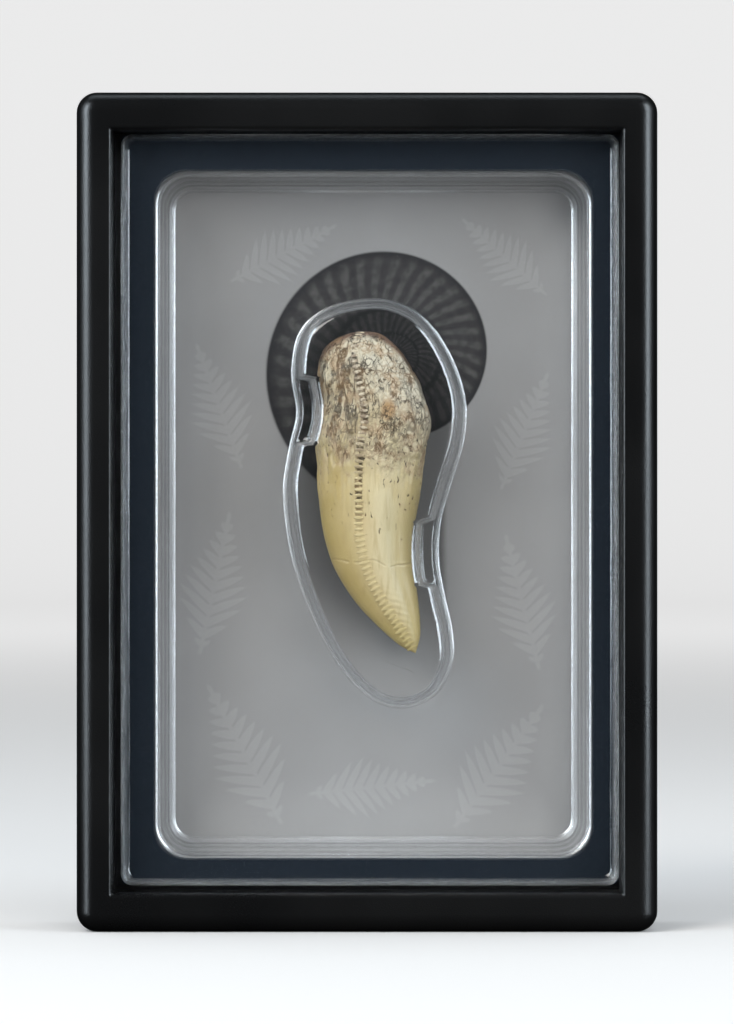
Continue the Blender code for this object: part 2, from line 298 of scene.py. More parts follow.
key_panel = add_panel("key_panel", (-0.62, -0.80, 0.80), (0.5, 0.5), 8.0, WARM)
key_panel.visible_glossy = False
add_panel("strip_left", (-0.84, -0.42, 0.42), (0.45, 0.8), 5.6, COOL)
add_panel("strip_right", (0.84, -0.42, 0.42), (0.45, 0.8), 5.0, COOL)
add_panel("strip_above", (0.0, 0.10, 0.85), (0.9, 0.25), 1.2, COOL)
fill_panel = add_panel("front_fill", (0.5, -1.3, 0.35), (0.8, 0.8), 9.0, WARM)
fill_panel.visible_glossy = fill_panel.visible_transmission = False
for side, side_name in ((-1, "left"), (1, "right")):
    place = (side * 0.80, -0.57, 0.30)
    edge_strip = add_panel(f"edge_strip_{side_name}", place, (0.25, 1.0), 7.0, COOL)
    edge_strip.visible_diffuse = False

world = bpy.data.worlds.new("soft_sky")
bpy.context.scene.world = world
world.use_nodes = True
world.node_tree.nodes["Background"].inputs["Color"].default_value = (1.0, 1.0, 1.0, 1.0)
world.node_tree.nodes["Background"].inputs["Strength"].default_value = 0.42
world.cycles_visibility.glossy = world.cycles_visibility.transmission = False
bpy.context.scene.view_settings.view_transform = "Standard"

# %% [markdown]
# ### Camera
#
# The photograph looks straight at the frame with a long lens, which keeps its sides parallel.
# The distance follows from the lens: the picture's height at the frame must be 158 mm.

# %% Camera
LENS = 150.0  # mm
SENSOR = 36.0  # mm along the longer side of the picture
PICTURE_HEIGHT = 158.0 * MM  # what the picture takes in at the front of the frame

camera_data = bpy.data.cameras.new("camera")
camera_data.lens, camera_data.sensor_width = LENS, SENSOR
camera_data.clip_end = 20.0
camera = add_object("camera", camera_data)
distance = PICTURE_HEIGHT * LENS / SENSOR
camera.location = (0.0, cad_box[0][1] - distance, MIDDLE.z)
camera.rotation_euler = (math.pi / 2, 0.0, 0.0)
bpy.context.scene.camera = camera
print(f"camera {distance:.3f} m in front of the frame")

# %% [markdown]
# ## Rings: one way to make the frame and the blister
#
# Both the frame and the blister are shapes that run round a rectangle: the same profile
# everywhere, with rounded corners. A modeller could bevel a box and cut it, but then each fine
# radius is a separate step. Here the profile is a list of rings instead, each a rounded
# rectangle at its own depth, and neighbouring rings are bridged with faces.


# %% Ring helpers
def rectangle_ring(size, radius, centre, corner_steps=10):
    """Points (x, z) round a rectangle with round corners, anticlockwise, always as many."""
    half_x, half_z = size[0] / 2 - radius, size[1] / 2 - radius
    points = []
    for corner, (side_x, side_z) in enumerate(((1, 1), (-1, 1), (-1, -1), (1, -1))):
        for step in range(corner_steps + 1):
            angle = math.pi / 2 * (corner + step / corner_steps)
            x = centre[0] + side_x * half_x + radius * math.cos(angle)
            z = centre[1] + side_z * half_z + radius * math.sin(angle)
            points.append(Vector((x, z)))
    return points


def add_ring(bm, points, y):
    return [bm.verts.new((point.x, y, point.y)) for point in points]


def bridge(bm, first, second):
    """Joins two rings of as many points with four-sided faces."""
    count = len(first)
    for i in range(count):
        j = (i + 1) % count
        bm.faces.new((first[i], first[j], second[j], second[i]))


def finish_mesh(name, bm, material, node=None, sharp=30.0):
    """Makes an object from a bmesh, shades it smooth, and hides the CAD node it stands in for."""
    bmesh.ops.recalc_face_normals(bm, faces=bm.faces)
    mesh = bpy.data.meshes.new(name)
    bm.to_mesh(mesh)
    bm.free()
    mesh.shade_smooth()
    if sharp:
        mesh.set_sharp_from_angle(angle=math.radians(sharp))
    mesh.materials.append(material)
    piece = add_object(name, mesh)
    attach(piece, "root")
    if node:
        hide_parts(node)
    print(f"{name}: {len(mesh.vertices)} points, {len(mesh.polygons)} faces")
    return piece


# %% [markdown]
# ## The black frame
#
# The frame is one moulding of black plastic with a satin skin. Its front edge is rounded, the
# opening has a thin chamfer that catches the light, and a ledge inside carries the mount. In
# the photograph the black is soft: almost no mirror, only a broad sheen along the rounded
# sides. That takes a middle roughness with a very fine grain in the bump.


# %% Satin black plastic
def make_black_plastic():
    material, tree, shader, place = new_material("black_plastic")
    skin = grain(tree, place, 4300.0, 38.0)
    tone = span(tree, skin["Broad"], 0.3, 0.7)
    black = blend(tree, tone, (0.0034, 0.0035, 0.0038), (0.0050, 0.0050, 0.0052))
    fill(tree, shader.inputs["Base Color"], black)
    broad = span(tree, skin["Broad"], 0.3, 0.7, 0.25, 0.31)
    rough = plus(tree, broad, times(tree, skin["Fine"], 0.05))
    fill(tree, shader.inputs["Roughness"], rough)
    bump(tree, shader, skin["Height"], 0.00006, 0.7)
    return material


# %% The frame's profile and mesh
FRAME_SIZE = (90.0, 130.0)
FRAME_CENTRE = (0.0, 65.0 * MM)
CORNER_RADIUS = 3.2
FRONT_RADIUS = 2.9
OPENING = (78.6, 117.8)
LEDGE = (72.0, 111.2)
REBATE = (81.4, 120.6)


def frame_profile():
    """Rings (width, height, corner radius, y) in millimetres, from the back round the front."""
    width, height = FRAME_SIZE
    rings = [
        (width - 0.7, height - 0.7, 2.9, 10.0),
        (width - 0.2, height - 0.2, 3.1, 9.9),
        (width, height, CORNER_RADIUS, 9.6),
    ]
    steps = 12
    for step in range(steps + 1):
        angle = math.pi / 2 * step / steps
        inwards = FRONT_RADIUS * (1 - math.cos(angle))
        y = -10.0 + FRONT_RADIUS * (1 - math.sin(angle))
        rings.append((width - 2 * inwards, height - 2 * inwards, CORNER_RADIUS - inwards, y))
    w, h = OPENING
    rings += [
        (w + 1.5, h + 1.5, 0.40, -10.0),
        (w + 1.02, h + 1.02, 0.36, -9.98),
        (w + 0.66, h + 0.66, 0.32, -9.86),
        (w + 0.34, h + 0.34, 0.28, -9.66),
        (w + 0.12, h + 0.12, 0.25, -9.38),
        (w, h, 0.22, -9.0),
        (w, h, 0.22, -2.9),
        (*LEDGE, 0.5, -2.9),
        (*LEDGE, 0.5, -1.3),
        (w, h, 0.22, -1.3),
        (w, h, 0.22, 6.1),
        (*REBATE, 1.0, 6.1),
        (*REBATE, 1.0, 9.8),
        (REBATE[0] + 0.4, REBATE[1] + 0.4, 1.2, 10.0),
    ]
    return rings


def make_frame(material):
    bm = bmesh.new()
    rings = []
    for width, height, radius, y in frame_profile():
        points = rectangle_ring((width * MM, height * MM), radius * MM, FRAME_CENTRE)
        rings.append(add_ring(bm, points, y * MM))
    for first, second in zip(rings, rings[1:] + rings[:1]):
        bridge(bm, first, second)
    finish_mesh("frame_moulding", bm, material, "frame")


make_frame(make_black_plastic())

# %% [markdown]
# ## The dark mount
#
# Between the frame and the tray lies a sheet of blue-black board with a round-cornered window.
# It is thin and flat, so five rings are enough: the outer edge and the window, front and back,
# and one more where the window's front edge is eased.


# %% Mount board
MOUNT_CENTRE = (0.45 * MM, 65.35 * MM)
MOUNT_SIZE = (77.2 * MM, 116.4 * MM)
WINDOW_CENTRE = (1.0 * MM, 64.6 * MM)
WINDOW_SIZE = (68.0 * MM, 107.0 * MM)
WINDOW_RADIUS = 5.0 * MM
MOUNT_FRONT_Y, MOUNT_BACK_Y = -4.3 * MM, -3.2 * MM


def make_navy_board():
    material, tree, shader, place = new_material("navy_mount")
    fibres = grain(tree, place, 2600.0, 30.0)
    tone = span(tree, fibres["Fine"], 0.3, 0.7)
    navy = blend(tree, tone, (0.010, 0.0145, 0.0215), (0.0135, 0.0195, 0.0275))
    fill(tree, shader.inputs["Base Color"], navy)
    fill(tree, shader.inputs["Roughness"], span(tree, fibres["Fine"], 0.2, 0.8, 0.42, 0.55))
    shader.inputs["Specular IOR Level"].default_value = 0.15
    bump(tree, shader, fibres["Height"], 0.00003, 0.5)
    return material


def make_mount(material):
    bm = bmesh.new()
    soft = 0.12 * MM  # the eased edges of the cut board
    outer = rectangle_ring(MOUNT_SIZE, 0.6 * MM, MOUNT_CENTRE)
    window = rectangle_ring(WINDOW_SIZE, WINDOW_RADIUS, WINDOW_CENTRE)
    eased = rectangle_ring([s + 2 * soft for s in WINDOW_SIZE], WINDOW_RADIUS + soft, WINDOW_CENTRE)
    rings = [
        add_ring(bm, outer, MOUNT_BACK_Y),
        add_ring(bm, outer, MOUNT_FRONT_Y),
        add_ring(bm, eased, MOUNT_FRONT_Y),
        add_ring(bm, window, MOUNT_FRONT_Y + soft),
        add_ring(bm, window, MOUNT_BACK_Y),
    ]
    for first, second in zip(rings, rings[1:] + rings[:1]):
        bridge(bm, first, second)
    finish_mesh("mount_board", bm, material, "mount")


make_mount(make_navy_board())

# %% [markdown]
# ## The printed card
#
# The card is flat, and most of its interest is print: a mid grey that grows slightly darker
# towards the top, paler fern fronds, and one dark fossil shell behind the tooth. Over the print
# lie a painted shadow behind the tooth and painted light along the card's border. The print
# could be an image, but shader nodes stay sharp at any size. A frond is a node group: it finds
# the place on the stem from which a leaflet would reach the point, and a repeating count along
# the stem makes the leaflets.


# %% The fern frond group
LEAFLETS = 12.0
LEAFLET_RISE = 0.62  # how far a leaflet climbs for each step outwards


def make_frond_group():
    """A frond one unit long that points up, with its middle at the origin."""
    group = bpy.data.node_groups.new("fern_frond", "ShaderNodeTree")
    group.interface.new_socket("Vector", in_out="INPUT", socket_type="NodeSocketVector")
    group.interface.new_socket("Mask", in_out="OUTPUT", socket_type="NodeSocketFloat")
    inside = put(group, "NodeGroupInput").outputs["Vector"]
    place = put(group, "ShaderNodeSeparateXYZ", {0: inside}).outputs
    out = unsigned(group, place[0])
    rise = plus(group, place[1], 0.5)
    root = minus(group, rise, times(group, out, LEAFLET_RISE))
    reach = times(group, minus(group, 1.0, root), span(group, root, -0.05, 0.32, 0.0, 0.36))
    used = divided(group, out, larger(group, reach, 0.002))
    cell = calc(group, "FRACT", times(group, root, LEAFLETS))
    side = times(group, unsigned(group, minus(group, cell, 0.5)), 2.0)
    width = minus(group, 0.86, times(group, calc(group, "POWER", used, 3.0), 0.9))
    leaflet = span(group, minus(group, width, side), 0.0, 0.14)
    stem = times(group, span(group, out, 0.017, 0.009), span(group, rise, -0.02, 0.0))
    stem = times(group, stem, span(group, rise, 1.0, 0.96))
    grown = times(group, span(group, root, 0.02, 0.05), span(group, root, 1.0, 0.97))
    mask = larger(group, times(group, leaflet, grown), stem)
    fill(group, put(group, "NodeGroupOutput").inputs["Mask"], mask)
    return group


FROND = make_frond_group()

# Fronds up both sides of the card: x and z in millimetres, length, heading in degrees, and the
# height where the frond takes over from the one below it. One more lies along the bottom.
# They keep clear of each other, so that each point of the card lies near one frond at most.
LEFT_FRONDS = [
    (-19.5, 27.0, 25.0, 28.0, 0.0),
    (-24.0, 54.0, 23.0, -12.0, 40.5),
    (-23.5, 82.0, 21.0, 20.0, 68.5),
    (-13.0, 106.0, 19.0, -62.0, 94.5),
]
RIGHT_FRONDS = [
    (21.0, 25.0, 24.0, -36.0, 0.0),
    (24.5, 51.0, 22.0, 14.0, 38.5),
    (25.0, 78.0, 20.0, -22.0, 65.0),
    (21.5, 105.5, 18.0, 48.0, 91.5),
]
BOTTOM_FROND = (1.0, 21.5, 20.0, -84.0, 0.0)
SIDES_MEET = 1.0  # x between the left and the right fronds
BOTTOM_REGION = (0.85, 11.35, 36.0)  # middle x, half width and top of the bottom frond's ground


# %% [markdown]
# ### A fossil in the print
#
# Behind the tooth the card carries one dark fossil. A coiled shell suits a shader, because its
# whorls are a logarithmic spiral: the logarithm of the radius, less the angle, counts the
# whorls, and its fraction says where a point lies between one seam and the next. Ribs are a sine
# of the angle. The mouth of the shell points down, where the tooth covers its end.


# %% The coiled shell in the print
SHELL_CENTRE = (4.5, 89.0)  # mm
SHELL_RADIUS = 24.0  # mm, at the mouth
WHORL_GROWTH = 2.0  # how much the radius grows in one turn
SHELL_RIBS = 36.0


def coiled_shell(tree, x, z):
    """(mask, tone) of the shell for a point in millimetres: its outline, and its relief as 0..1."""
    dx = minus(tree, x, SHELL_CENTRE[0])
    dz = minus(tree, z, SHELL_CENTRE[1])
    square = plus(tree, times(tree, dx, dx), times(tree, dz, dz))
    far = calc(tree, "SQRT", square)
    turns = divided(tree, calc(tree, "ARCTAN2", dz, dx), 2 * math.pi)
    turns = calc(tree, "FRACT", plus(tree, turns, 1.25))
    size = calc(tree, "LOGARITHM", divided(tree, far, SHELL_RADIUS), WHORL_GROWTH)
    count = minus(tree, size, minus(tree, turns, 1.0))
    mask = span(tree, count, 0.03, -0.01)
    place = calc(tree, "FRACT", plus(tree, count, 8.0))
    seam = times(tree, span(tree, place, 0.0, 0.18), span(tree, place, 1.0, 0.84))
    swing = plus(tree, turns, times(tree, place, 0.04))
    rib = calc(tree, "SINE", times(tree, swing, 2 * math.pi * SHELL_RIBS))
    relief = plus(tree, 0.3, times(tree, span(tree, rib, -0.8, 0.9), 0.7))
    return mask, times(tree, seam, relief)


# %% The card's material
def light_left(tree, x, z):
    """The share of light left in the shadow painted behind the tooth, for a point in mm."""
    below = larger(tree, minus(tree, 60.0, z), 0.0)
    above = calc(tree, "MINIMUM", larger(tree, minus(tree, z, 70.0), 0.0), 12.0)
    middle = plus(tree, times(tree, below, 0.21), times(tree, above, 0.13))
    half = minus(tree, 12.7, times(tree, below, 0.19))
    half = plus(tree, half, times(tree, above, 0.06))
    across = divided(tree, minus(tree, x, middle), half)
    over = larger(tree, divided(tree, minus(tree, z, 84.0), 14.4), 0.0)
    under = larger(tree, divided(tree, minus(tree, 44.0, z), 9.6), 0.0)
    ends = plus(tree, over, under)
    away = plus(tree, times(tree, across, across), times(tree, ends, ends))
    lost = times(tree, span(tree, away, 1.04, 0.80), span(tree, z, 36.0, 58.0, 0.15, 0.60))
    return minus(tree, 1.0, lost)


def pick(tree, second, a, b):
    """The vector b where second is 1, and a where it is 0."""
    node = put(tree, "ShaderNodeMix", data_type="VECTOR")
    for socket, value in zip((node.inputs[0], node.inputs[4], node.inputs[5]), (second, a, b)):
        fill(tree, socket, value)
    return node.outputs[1]


def place_on_frond(tree, spot, frond):
    """Where a point of the card lies on a frond that is one unit long."""
    at_x, at_z, length, heading, _ = frond
    ends = {"Location": (at_x, at_z, 0.0), "Rotation": (0.0, 0.0, math.radians(heading))}
    ends.update({"Vector": spot, "Scale": (length,) * 3})
    return put(tree, "ShaderNodeMapping", ends, vector_type="TEXTURE").outputs[0]


def frond_mask(tree, x, z):
    """The fronds' print at a point in millimetres.

    No two fronds overlap, so each has ground of its own. The point is placed on the one frond
    that can reach it, and the group's many nodes run once for each point, not nine times.
    """
    spot = put(tree, "ShaderNodeCombineXYZ", {0: x, 1: z}).outputs[0]
    columns = []
    for fronds in (LEFT_FRONDS, RIGHT_FRONDS):
        local = place_on_frond(tree, spot, fronds[0])
        for frond in fronds[1:]:
            above = calc(tree, "GREATER_THAN", z, frond[4])
            local = pick(tree, above, local, place_on_frond(tree, spot, frond))
        columns.append(local)
    local = pick(tree, calc(tree, "GREATER_THAN", x, SIDES_MEET), *columns)
    middle, half, top = BOTTOM_REGION
    across = unsigned(tree, minus(tree, x, middle))
    low = times(tree, calc(tree, "LESS_THAN", across, half), calc(tree, "LESS_THAN", z, top))
    local = pick(tree, low, local, place_on_frond(tree, spot, BOTTOM_FROND))
    frond = put(tree, "ShaderNodeGroup", node_tree=FROND)
    fill(tree, frond.inputs[0], local)
    return frond.outputs[0]


def make_printed_card():
    material, tree, shader, place = new_material("printed_card")
    xyz = put(tree, "ShaderNodeSeparateXYZ", {0: place}).outputs
    x, z = times(tree, xyz[0], PER_METRE), times(tree, xyz[2], PER_METRE)
    fibres = grain(tree, place, 2400.0, 42.0)

    grey = span(tree, z, 20.0, 112.0, 0.345, 0.295, smooth=False)
    side = span(tree, x, -32.0, 32.0, -0.01, 0.01, smooth=False)
    # Painted light: the card is paler near its border, where the tray's walls keep light from it.
    border = divided(tree, unsigned(tree, minus(tree, x, 1.0)), 31.5)
    border = larger(tree, border, divided(tree, unsigned(tree, minus(tree, z, 64.6)), 51.0))
    side = plus(tree, side, span(tree, border, 0.78, 1.0, 0.0, 0.07))
    cloud = span(tree, fibres["Broad"], 0.3, 0.7, -0.015, 0.015)
    grey = plus(tree, grey, plus(tree, side, cloud))
    grey = plus(tree, grey, times(tree, frond_mask(tree, x, z), 0.036))
    speckle = times(tree, minus(tree, fibres["Fine"], 0.5), 0.02)
    grey = plus(tree, grey, speckle)

    paper = put(tree, "ShaderNodeCombineColor", {0: grey, 1: grey, 2: grey}).outputs[0]

    mask, tone = coiled_shell(tree, x, z)
    worn = put(tree, "ShaderNodeTexNoise", {"Vector": place, "Scale": 900.0, "Detail": 4.0})
    tone = times(tree, tone, span(tree, worn.outputs[0], 0.3, 0.7, 0.45, 1.15))
    shell = blend(tree, tone, (0.028, 0.028, 0.030), (0.085, 0.083, 0.081))
    print_colour = blend(tree, mask, paper, shell)
    # Painted shadow: the card is darkened round the tooth, inside the bubble.
    print_with_painted_shadow = blend(tree, 1.0, print_colour, light_left(tree, x, z), kind="MULTIPLY")
    fill(tree, shader.inputs["Base Color"], print_with_painted_shadow)
    shader.inputs["Roughness"].default_value = 0.5
    shader.inputs["Specular IOR Level"].default_value = 0.2
    bump(tree, shader, fibres["Height"], 0.00002, 0.4)
    return material


def dress_node(name, material):
    """Gives a CAD node that keeps its shape its finished material."""
    node = nodes[name]
    for slot in node.material_slots:
        slot.material = material
    print(f"{name}: CAD shape kept, material {material.name}")


dress_node("card", make_printed_card())

# %% [markdown]
# ## The back board
#
# The back isn't in the photograph. Such frames close with a dark pressed board that lies in
# the rebate, so it gets a dull fibre finish: short flecks, stretched along the board.


# %% Pressed board
def make_pressed_board():
    material, tree, shader, place = new_material("pressed_board")
    drawn_out = {"Vector": place, "Scale": (1.0, 1.0, 0.35)}
    drawn_out = put(tree, "ShaderNodeMapping", drawn_out).outputs[0]
    fibres = grain(tree, drawn_out, 1900.0, 55.0)
    tone = span(tree, fibres["Fine"], 0.35, 0.7)
    board = blend(tree, tone, (0.014, 0.0135, 0.013), (0.032, 0.030, 0.028))
    fill(tree, shader.inputs["Base Color"], board)
    fill(tree, shader.inputs["Roughness"], span(tree, fibres["Broad"], 0.3, 0.7, 0.72, 0.88))
    bump(tree, shader, fibres["Height"], 0.00008, 0.7)
    return material


dress_node("back_board", make_pressed_board())

# %% [markdown]
# ## The tooth's shape
#
# The tooth hangs root up and crown down. Its outline is a list of sections, each with a point
# on the left edge and one on the right. Between them a section is an oval, so a point
# on the skin needs only two numbers: the angle round the section and the share of the way to
# the tip. The CAD solid was made from the same list, so the fine mesh fits it closely.

# %% Sections of the tooth
# Left x and z, then right x and z, in millimetres, from the end of the root to the tip.
TOOTH_SECTIONS = np.array([
    (-0.7, 93.3, -0.7, 93.3), (-3.0, 92.9, 1.7, 93.0), (-5.3, 91.6, 3.8, 91.7),
    (-7.0, 89.4, 5.7, 89.6), (-7.6, 86.6, 7.7, 86.3), (-7.3, 82.8, 9.3, 82.8),
    (-7.5, 79.0, 10.1, 79.4), (-7.9, 75.2, 9.3, 75.4), (-7.9, 71.0, 8.7, 71.0),
    (-7.5, 66.5, 8.1, 66.5), (-6.8, 61.6, 7.3, 61.9), (-5.5, 57.1, 7.2, 58.2),
    (-3.6, 53.5, 7.4, 55.2), (-1.4, 50.4, 7.8, 52.8), (0.9, 47.9, 8.1, 50.4),
    (3.1, 45.8, 8.3, 48.0), (5.3, 44.0, 8.3, 45.5), (7.6, 42.9, 7.6, 42.9),
])
THICKNESS_RATIO = 0.70
RIDGE_ANGLE = math.radians(101.5)  # where the toothed ridge runs, from the right round the front
RIDGE_WIDTH = math.radians(9.0)
RIDGE_HEIGHT = 0.22  # mm
ROOT_LUMP = 0.42  # mm
ROOT_GROOVE = 0.30  # mm
ROOT_FADE = (63.0, 74.0)  # z in mm, from the smooth crown to the rough root
TOOTH_BACK_Y = 6.1  # mm


def smooth_step(value, low, high):
    t = min(max((value - low) / (high - low), 0.0), 1.0)
    return t * t * (3.0 - 2.0 * t)


def section_knots():
    steps = np.diff(TOOTH_SECTIONS, axis=0)
    lengths = (np.hypot(steps[:, 0], steps[:, 1]) + np.hypot(steps[:, 2], steps[:, 3])) / 2
    knots = np.concatenate(([0.0], np.cumsum(lengths)))
    return knots / knots[-1], knots[-1]


KNOTS, TOOTH_LENGTH = section_knots()
print(f"the skin is {TOOTH_LENGTH:.1f} mm long from root to tip")


def tooth_section(share):
    """Left and right outline points of the section at this share of the way, in millimetres."""
    last = len(TOOTH_SECTIONS) - 1
    piece = min(int(np.searchsorted(KNOTS, share, side="right")) - 1, last - 1)
    t = (share - KNOTS[piece]) / (KNOTS[piece + 1] - KNOTS[piece])
    a, b, c, d = (TOOTH_SECTIONS[min(max(piece + step, 0), last)] for step in (-1, 0, 1, 2))
    middle = b * 2 + (c - a) * t
    row = (middle + (a * 2 - b * 5 + c * 4 - d) * t * t + (b * 3 - a - c * 3 + d) * t**3) / 2
    return Vector(row[:2]), Vector(row[2:])


# %% [markdown]
# ### Relief on the skin
#
# The root is rough bone: lumps, lengthwise grooves, flakes like bark on the left of the ridge and
# a fine crackle on its right. The crown is smooth, with a shallow flute, a crack round it and
# faint ripples by the tip. Each is a height in millimetres, and each crack also gives a mask, so
# that paint can settle in it as a dark wash does on a real replica. Cracks come from Voronoi
# cells: near a border between two cells the nearest two centres are about as far away.


# %% Relief and masks at one point of the skin
# noise_vector takes its offsets from Blender's random seed, which is the clock unless it is set.
# With a fixed seed the cracks fall in the same places each time the lesson runs.
noise.seed_set(1)


def cracks(around, height, cell, seed, warp=0.45):
    """1 in the cracks between irregular cells, 0 inside them. cell is (width, length) in mm."""
    where = Vector((around.x / cell[0], around.y / cell[0], height / cell[1] + seed))
    bend = noise.noise_vector(where * 0.9 + Vector((0.0, 0.0, 7.0)))
    near = noise.voronoi(where + bend * warp)[0]
    return 1.0 - smooth_step(near[1] - near[0], 0.02, 0.18), near[0]


def crack_line(x):
    """The height z of the crack round the crown, at this x."""
    wave = 57.4 + 0.25 * math.sin(x * 0.9)
    return wave - 0.9 * smooth_step(x, 0.6, 3.2) + 0.5 * smooth_step(x, 3.6, 5.0)


def ridge_column(angle, z):
    """1 in the stained column under the ridge's ribs, where dark wash shows between them."""
    off = abs(math.degrees(angle - RIDGE_ANGLE))
    near = 1.0 - smooth_step(off, 3.0, 4.6)
    return near * smooth_step(z, 61.0, 67.0) * (1.0 - smooth_step(z, 91.5, 93.0))


def skin_relief(angle, x, z, swell):
    """(height in mm, dark wash 0..1) at a point of the tooth's skin."""
    turn = Vector((math.cos(angle), math.sin(angle), 0.0))
    upward = Vector((0.0, 0.0, z))
    root = smooth_step(z, *ROOT_FADE)
    height = RIDGE_HEIGHT * math.exp(-(((angle - RIDGE_ANGLE) / RIDGE_WIDTH) ** 2)) * swell
    lumps = noise.fractal(turn * 1.6 + upward * 0.16, 1.0, 2.0, 3)
    grooves = noise.ridged_multi_fractal(turn * 3.2 + upward * 0.05, 0.9, 2.1, 3, 1.0, 2.0)
    height += root * swell * (ROOT_LUMP * lumps + ROOT_GROOVE * (grooves - 1.0))

    around = Vector((math.cos(angle) * 8.0, math.sin(angle) * 6.0, 0.0))
    patch = noise.noise(around * 0.35 + upward * 0.22)
    rough = smooth_step(z + 3.0 * patch + 0.25 * x, 69.5, 77.5)
    left = smooth_step(angle, math.radians(104), math.radians(112))
    flakes, flake_middle = cracks(around, z, (1.15, 3.1), 11.0)
    crackle, _ = cracks(around, z, (0.95, 1.25), 3.0, 0.6)
    strength = smooth_step(patch + 0.05 * (82.0 - z) + 0.05 * x, -0.35, 0.35)
    wash = rough * (left * flakes * 0.95 + (1.0 - left) * crackle * (0.35 + 0.55 * strength))
    height -= rough * swell * (left * flakes * 0.20 + (1.0 - left) * crackle * 0.09)
    height += rough * swell * left * 0.10 * (0.5 - min(flake_middle, 1.0))

    flute = (angle - math.radians(58.0)) / math.radians(9.0)
    height -= 0.20 * (1.0 - root) * swell * math.exp(-flute * flute)
    gap = z - crack_line(x)
    front = smooth_step(math.sin(angle), -0.2, 0.3)
    split = math.exp(-((gap / 0.13) ** 2)) * smooth_step(noise.noise(around * 0.6), -0.5, 0.1)
    step = 0.05 * smooth_step(gap, 0.0, 0.5) * smooth_step(4.0 - gap, 0.0, 4.0)
    height -= front * (0.10 * split + step)
    wash = max(wash, 0.45 * split * front)
    height += 0.012 * noise.noise(around * 1.5 + upward * 0.12) * (1.0 - root)
    beside = math.exp(-(((angle - RIDGE_ANGLE + 0.35) / 0.42) ** 2))
    ripple = math.sin(2 * math.pi * (z + 0.25 * x) / 0.95) * beside
    height += 0.022 * ripple * (1.0 - smooth_step(z, 50.0, 55.0)) * smooth_step(z, 43.5, 46.0)
    return height, wash


# %% Build the tooth's mesh
FRONT_COLUMNS, BACK_COLUMNS, ROWS = 156, 72, 400


def skin_point(angle, share):
    left, right = tooth_section(share)
    centre, half = (left + right) / 2, (right - left) / 2
    flat = centre + half * math.cos(angle)
    swell = min(1.0, half.length / 4.0)
    height, wash = skin_relief(angle, flat.x, flat.y, swell)
    wash = max(wash, 1.0 - smooth_step(share, 0.014, 0.034))  # dark wash round the root's end
    column = ridge_column(angle, flat.y)
    outward = half.normalized() * math.cos(angle)
    thickness = half.length * THICKNESS_RATIO
    flat = flat + outward * height
    y = -math.sin(angle) * (thickness + height)
    return Vector((flat.x, y, flat.y)), wash, column


def make_tooth(material):
    """A grid of angle by share, with its masks as attributes. Returns how far back it reached."""
    front = [math.pi * i / FRONT_COLUMNS for i in range(FRONT_COLUMNS)]
    back = [math.pi * (1 + i / BACK_COLUMNS) for i in range(BACK_COLUMNS)]
    angles = front + back
    bm = bmesh.new()
    washes = bm.verts.layers.float.new("wash")
    columns = bm.verts.layers.float.new("column")
    across = bm.verts.layers.float.new("across")
    rows = []
    for row in range(1, ROWS):
        share = row / ROWS
        share = 0.5 * (share + (1 - math.cos(math.pi * share)) / 2)
        ring = []
        for angle in angles:
            point, wash, column = skin_point(angle, share)
            vert = bm.verts.new(point)
            vert[washes], vert[columns], vert[across] = wash, column, 0.5 + 0.5 * math.cos(angle)
            ring.append(vert)
        rows.append(ring)
    for first, second in zip(rows, rows[1:]):
        bridge(bm, first, second)
    for ring, share in ((rows[0], 0.0), (rows[-1], 1.0)):
        tip = bm.verts.new(skin_point(0.0, share)[0])
        tip[washes], tip[columns], tip[across] = ring[0][washes], 0.0, 0.5
        for i, vert in enumerate(ring):
            bm.faces.new((vert, ring[(i + 1) % len(ring)], tip))
    furthest = max(vert.co.y for vert in bm.verts)
    for vert in bm.verts:
        vert.co = Vector((vert.co.x, vert.co.y - furthest + TOOTH_BACK_Y, vert.co.z)) * MM
    print(f"furthest back of the unmoved skin {furthest:.2f} mm")
    finish_mesh("tooth_skin", bm, material, "tooth", sharp=None)
    return furthest


# %% [markdown]
# ### Paint on the tooth
#
# The crown is cream, more yellow at its sides and tip, and painted shade darkens it towards
# both edges, so that it is brightest down the middle. The root is off-white bone with pinkish
# and ochre patches, painted shade along its narrow sides, and a dark brown wash in every crack.
# Where root turns to crown, the wash thins out to small specks. The masks made with the mesh
# say where each colour goes, and noises break up their borders.


# %% Painted tooth
# Painted shade: the stops darken towards both edges, where the crown's sides turn from the light.
CROWN_COLOUR_AND_SHADE_STOPS = [  # colours across the crown, from its left edge to its right
    (0.0, (0.40, 0.30, 0.11)), (0.22, (0.47, 0.36, 0.15)), (0.42, (0.61, 0.50, 0.27)),
    (0.60, (0.68, 0.59, 0.37)), (0.76, (0.58, 0.50, 0.29)), (0.88, (0.49, 0.40, 0.20)),
    (1.0, (0.32, 0.25, 0.10)),
]


def attribute(tree, name):
    return put(tree, "ShaderNodeAttribute", attribute_name=name).outputs["Fac"]


def blotches(tree, place, scale, detail=3.0):
    """A noise for irregular patches, with this many of them to the metre."""
    given = {"Vector": place, "Scale": scale, "Detail": detail, "Roughness": 0.6}
    return put(tree, "ShaderNodeTexNoise", given).outputs[0]


def stretched(tree, place, along):
    """Object coordinates that make a pattern longer up and down the tooth."""
    return put(tree, "ShaderNodeMapping", {"Vector": place, "Scale": (1.0, 1.0, along)}).outputs[0]


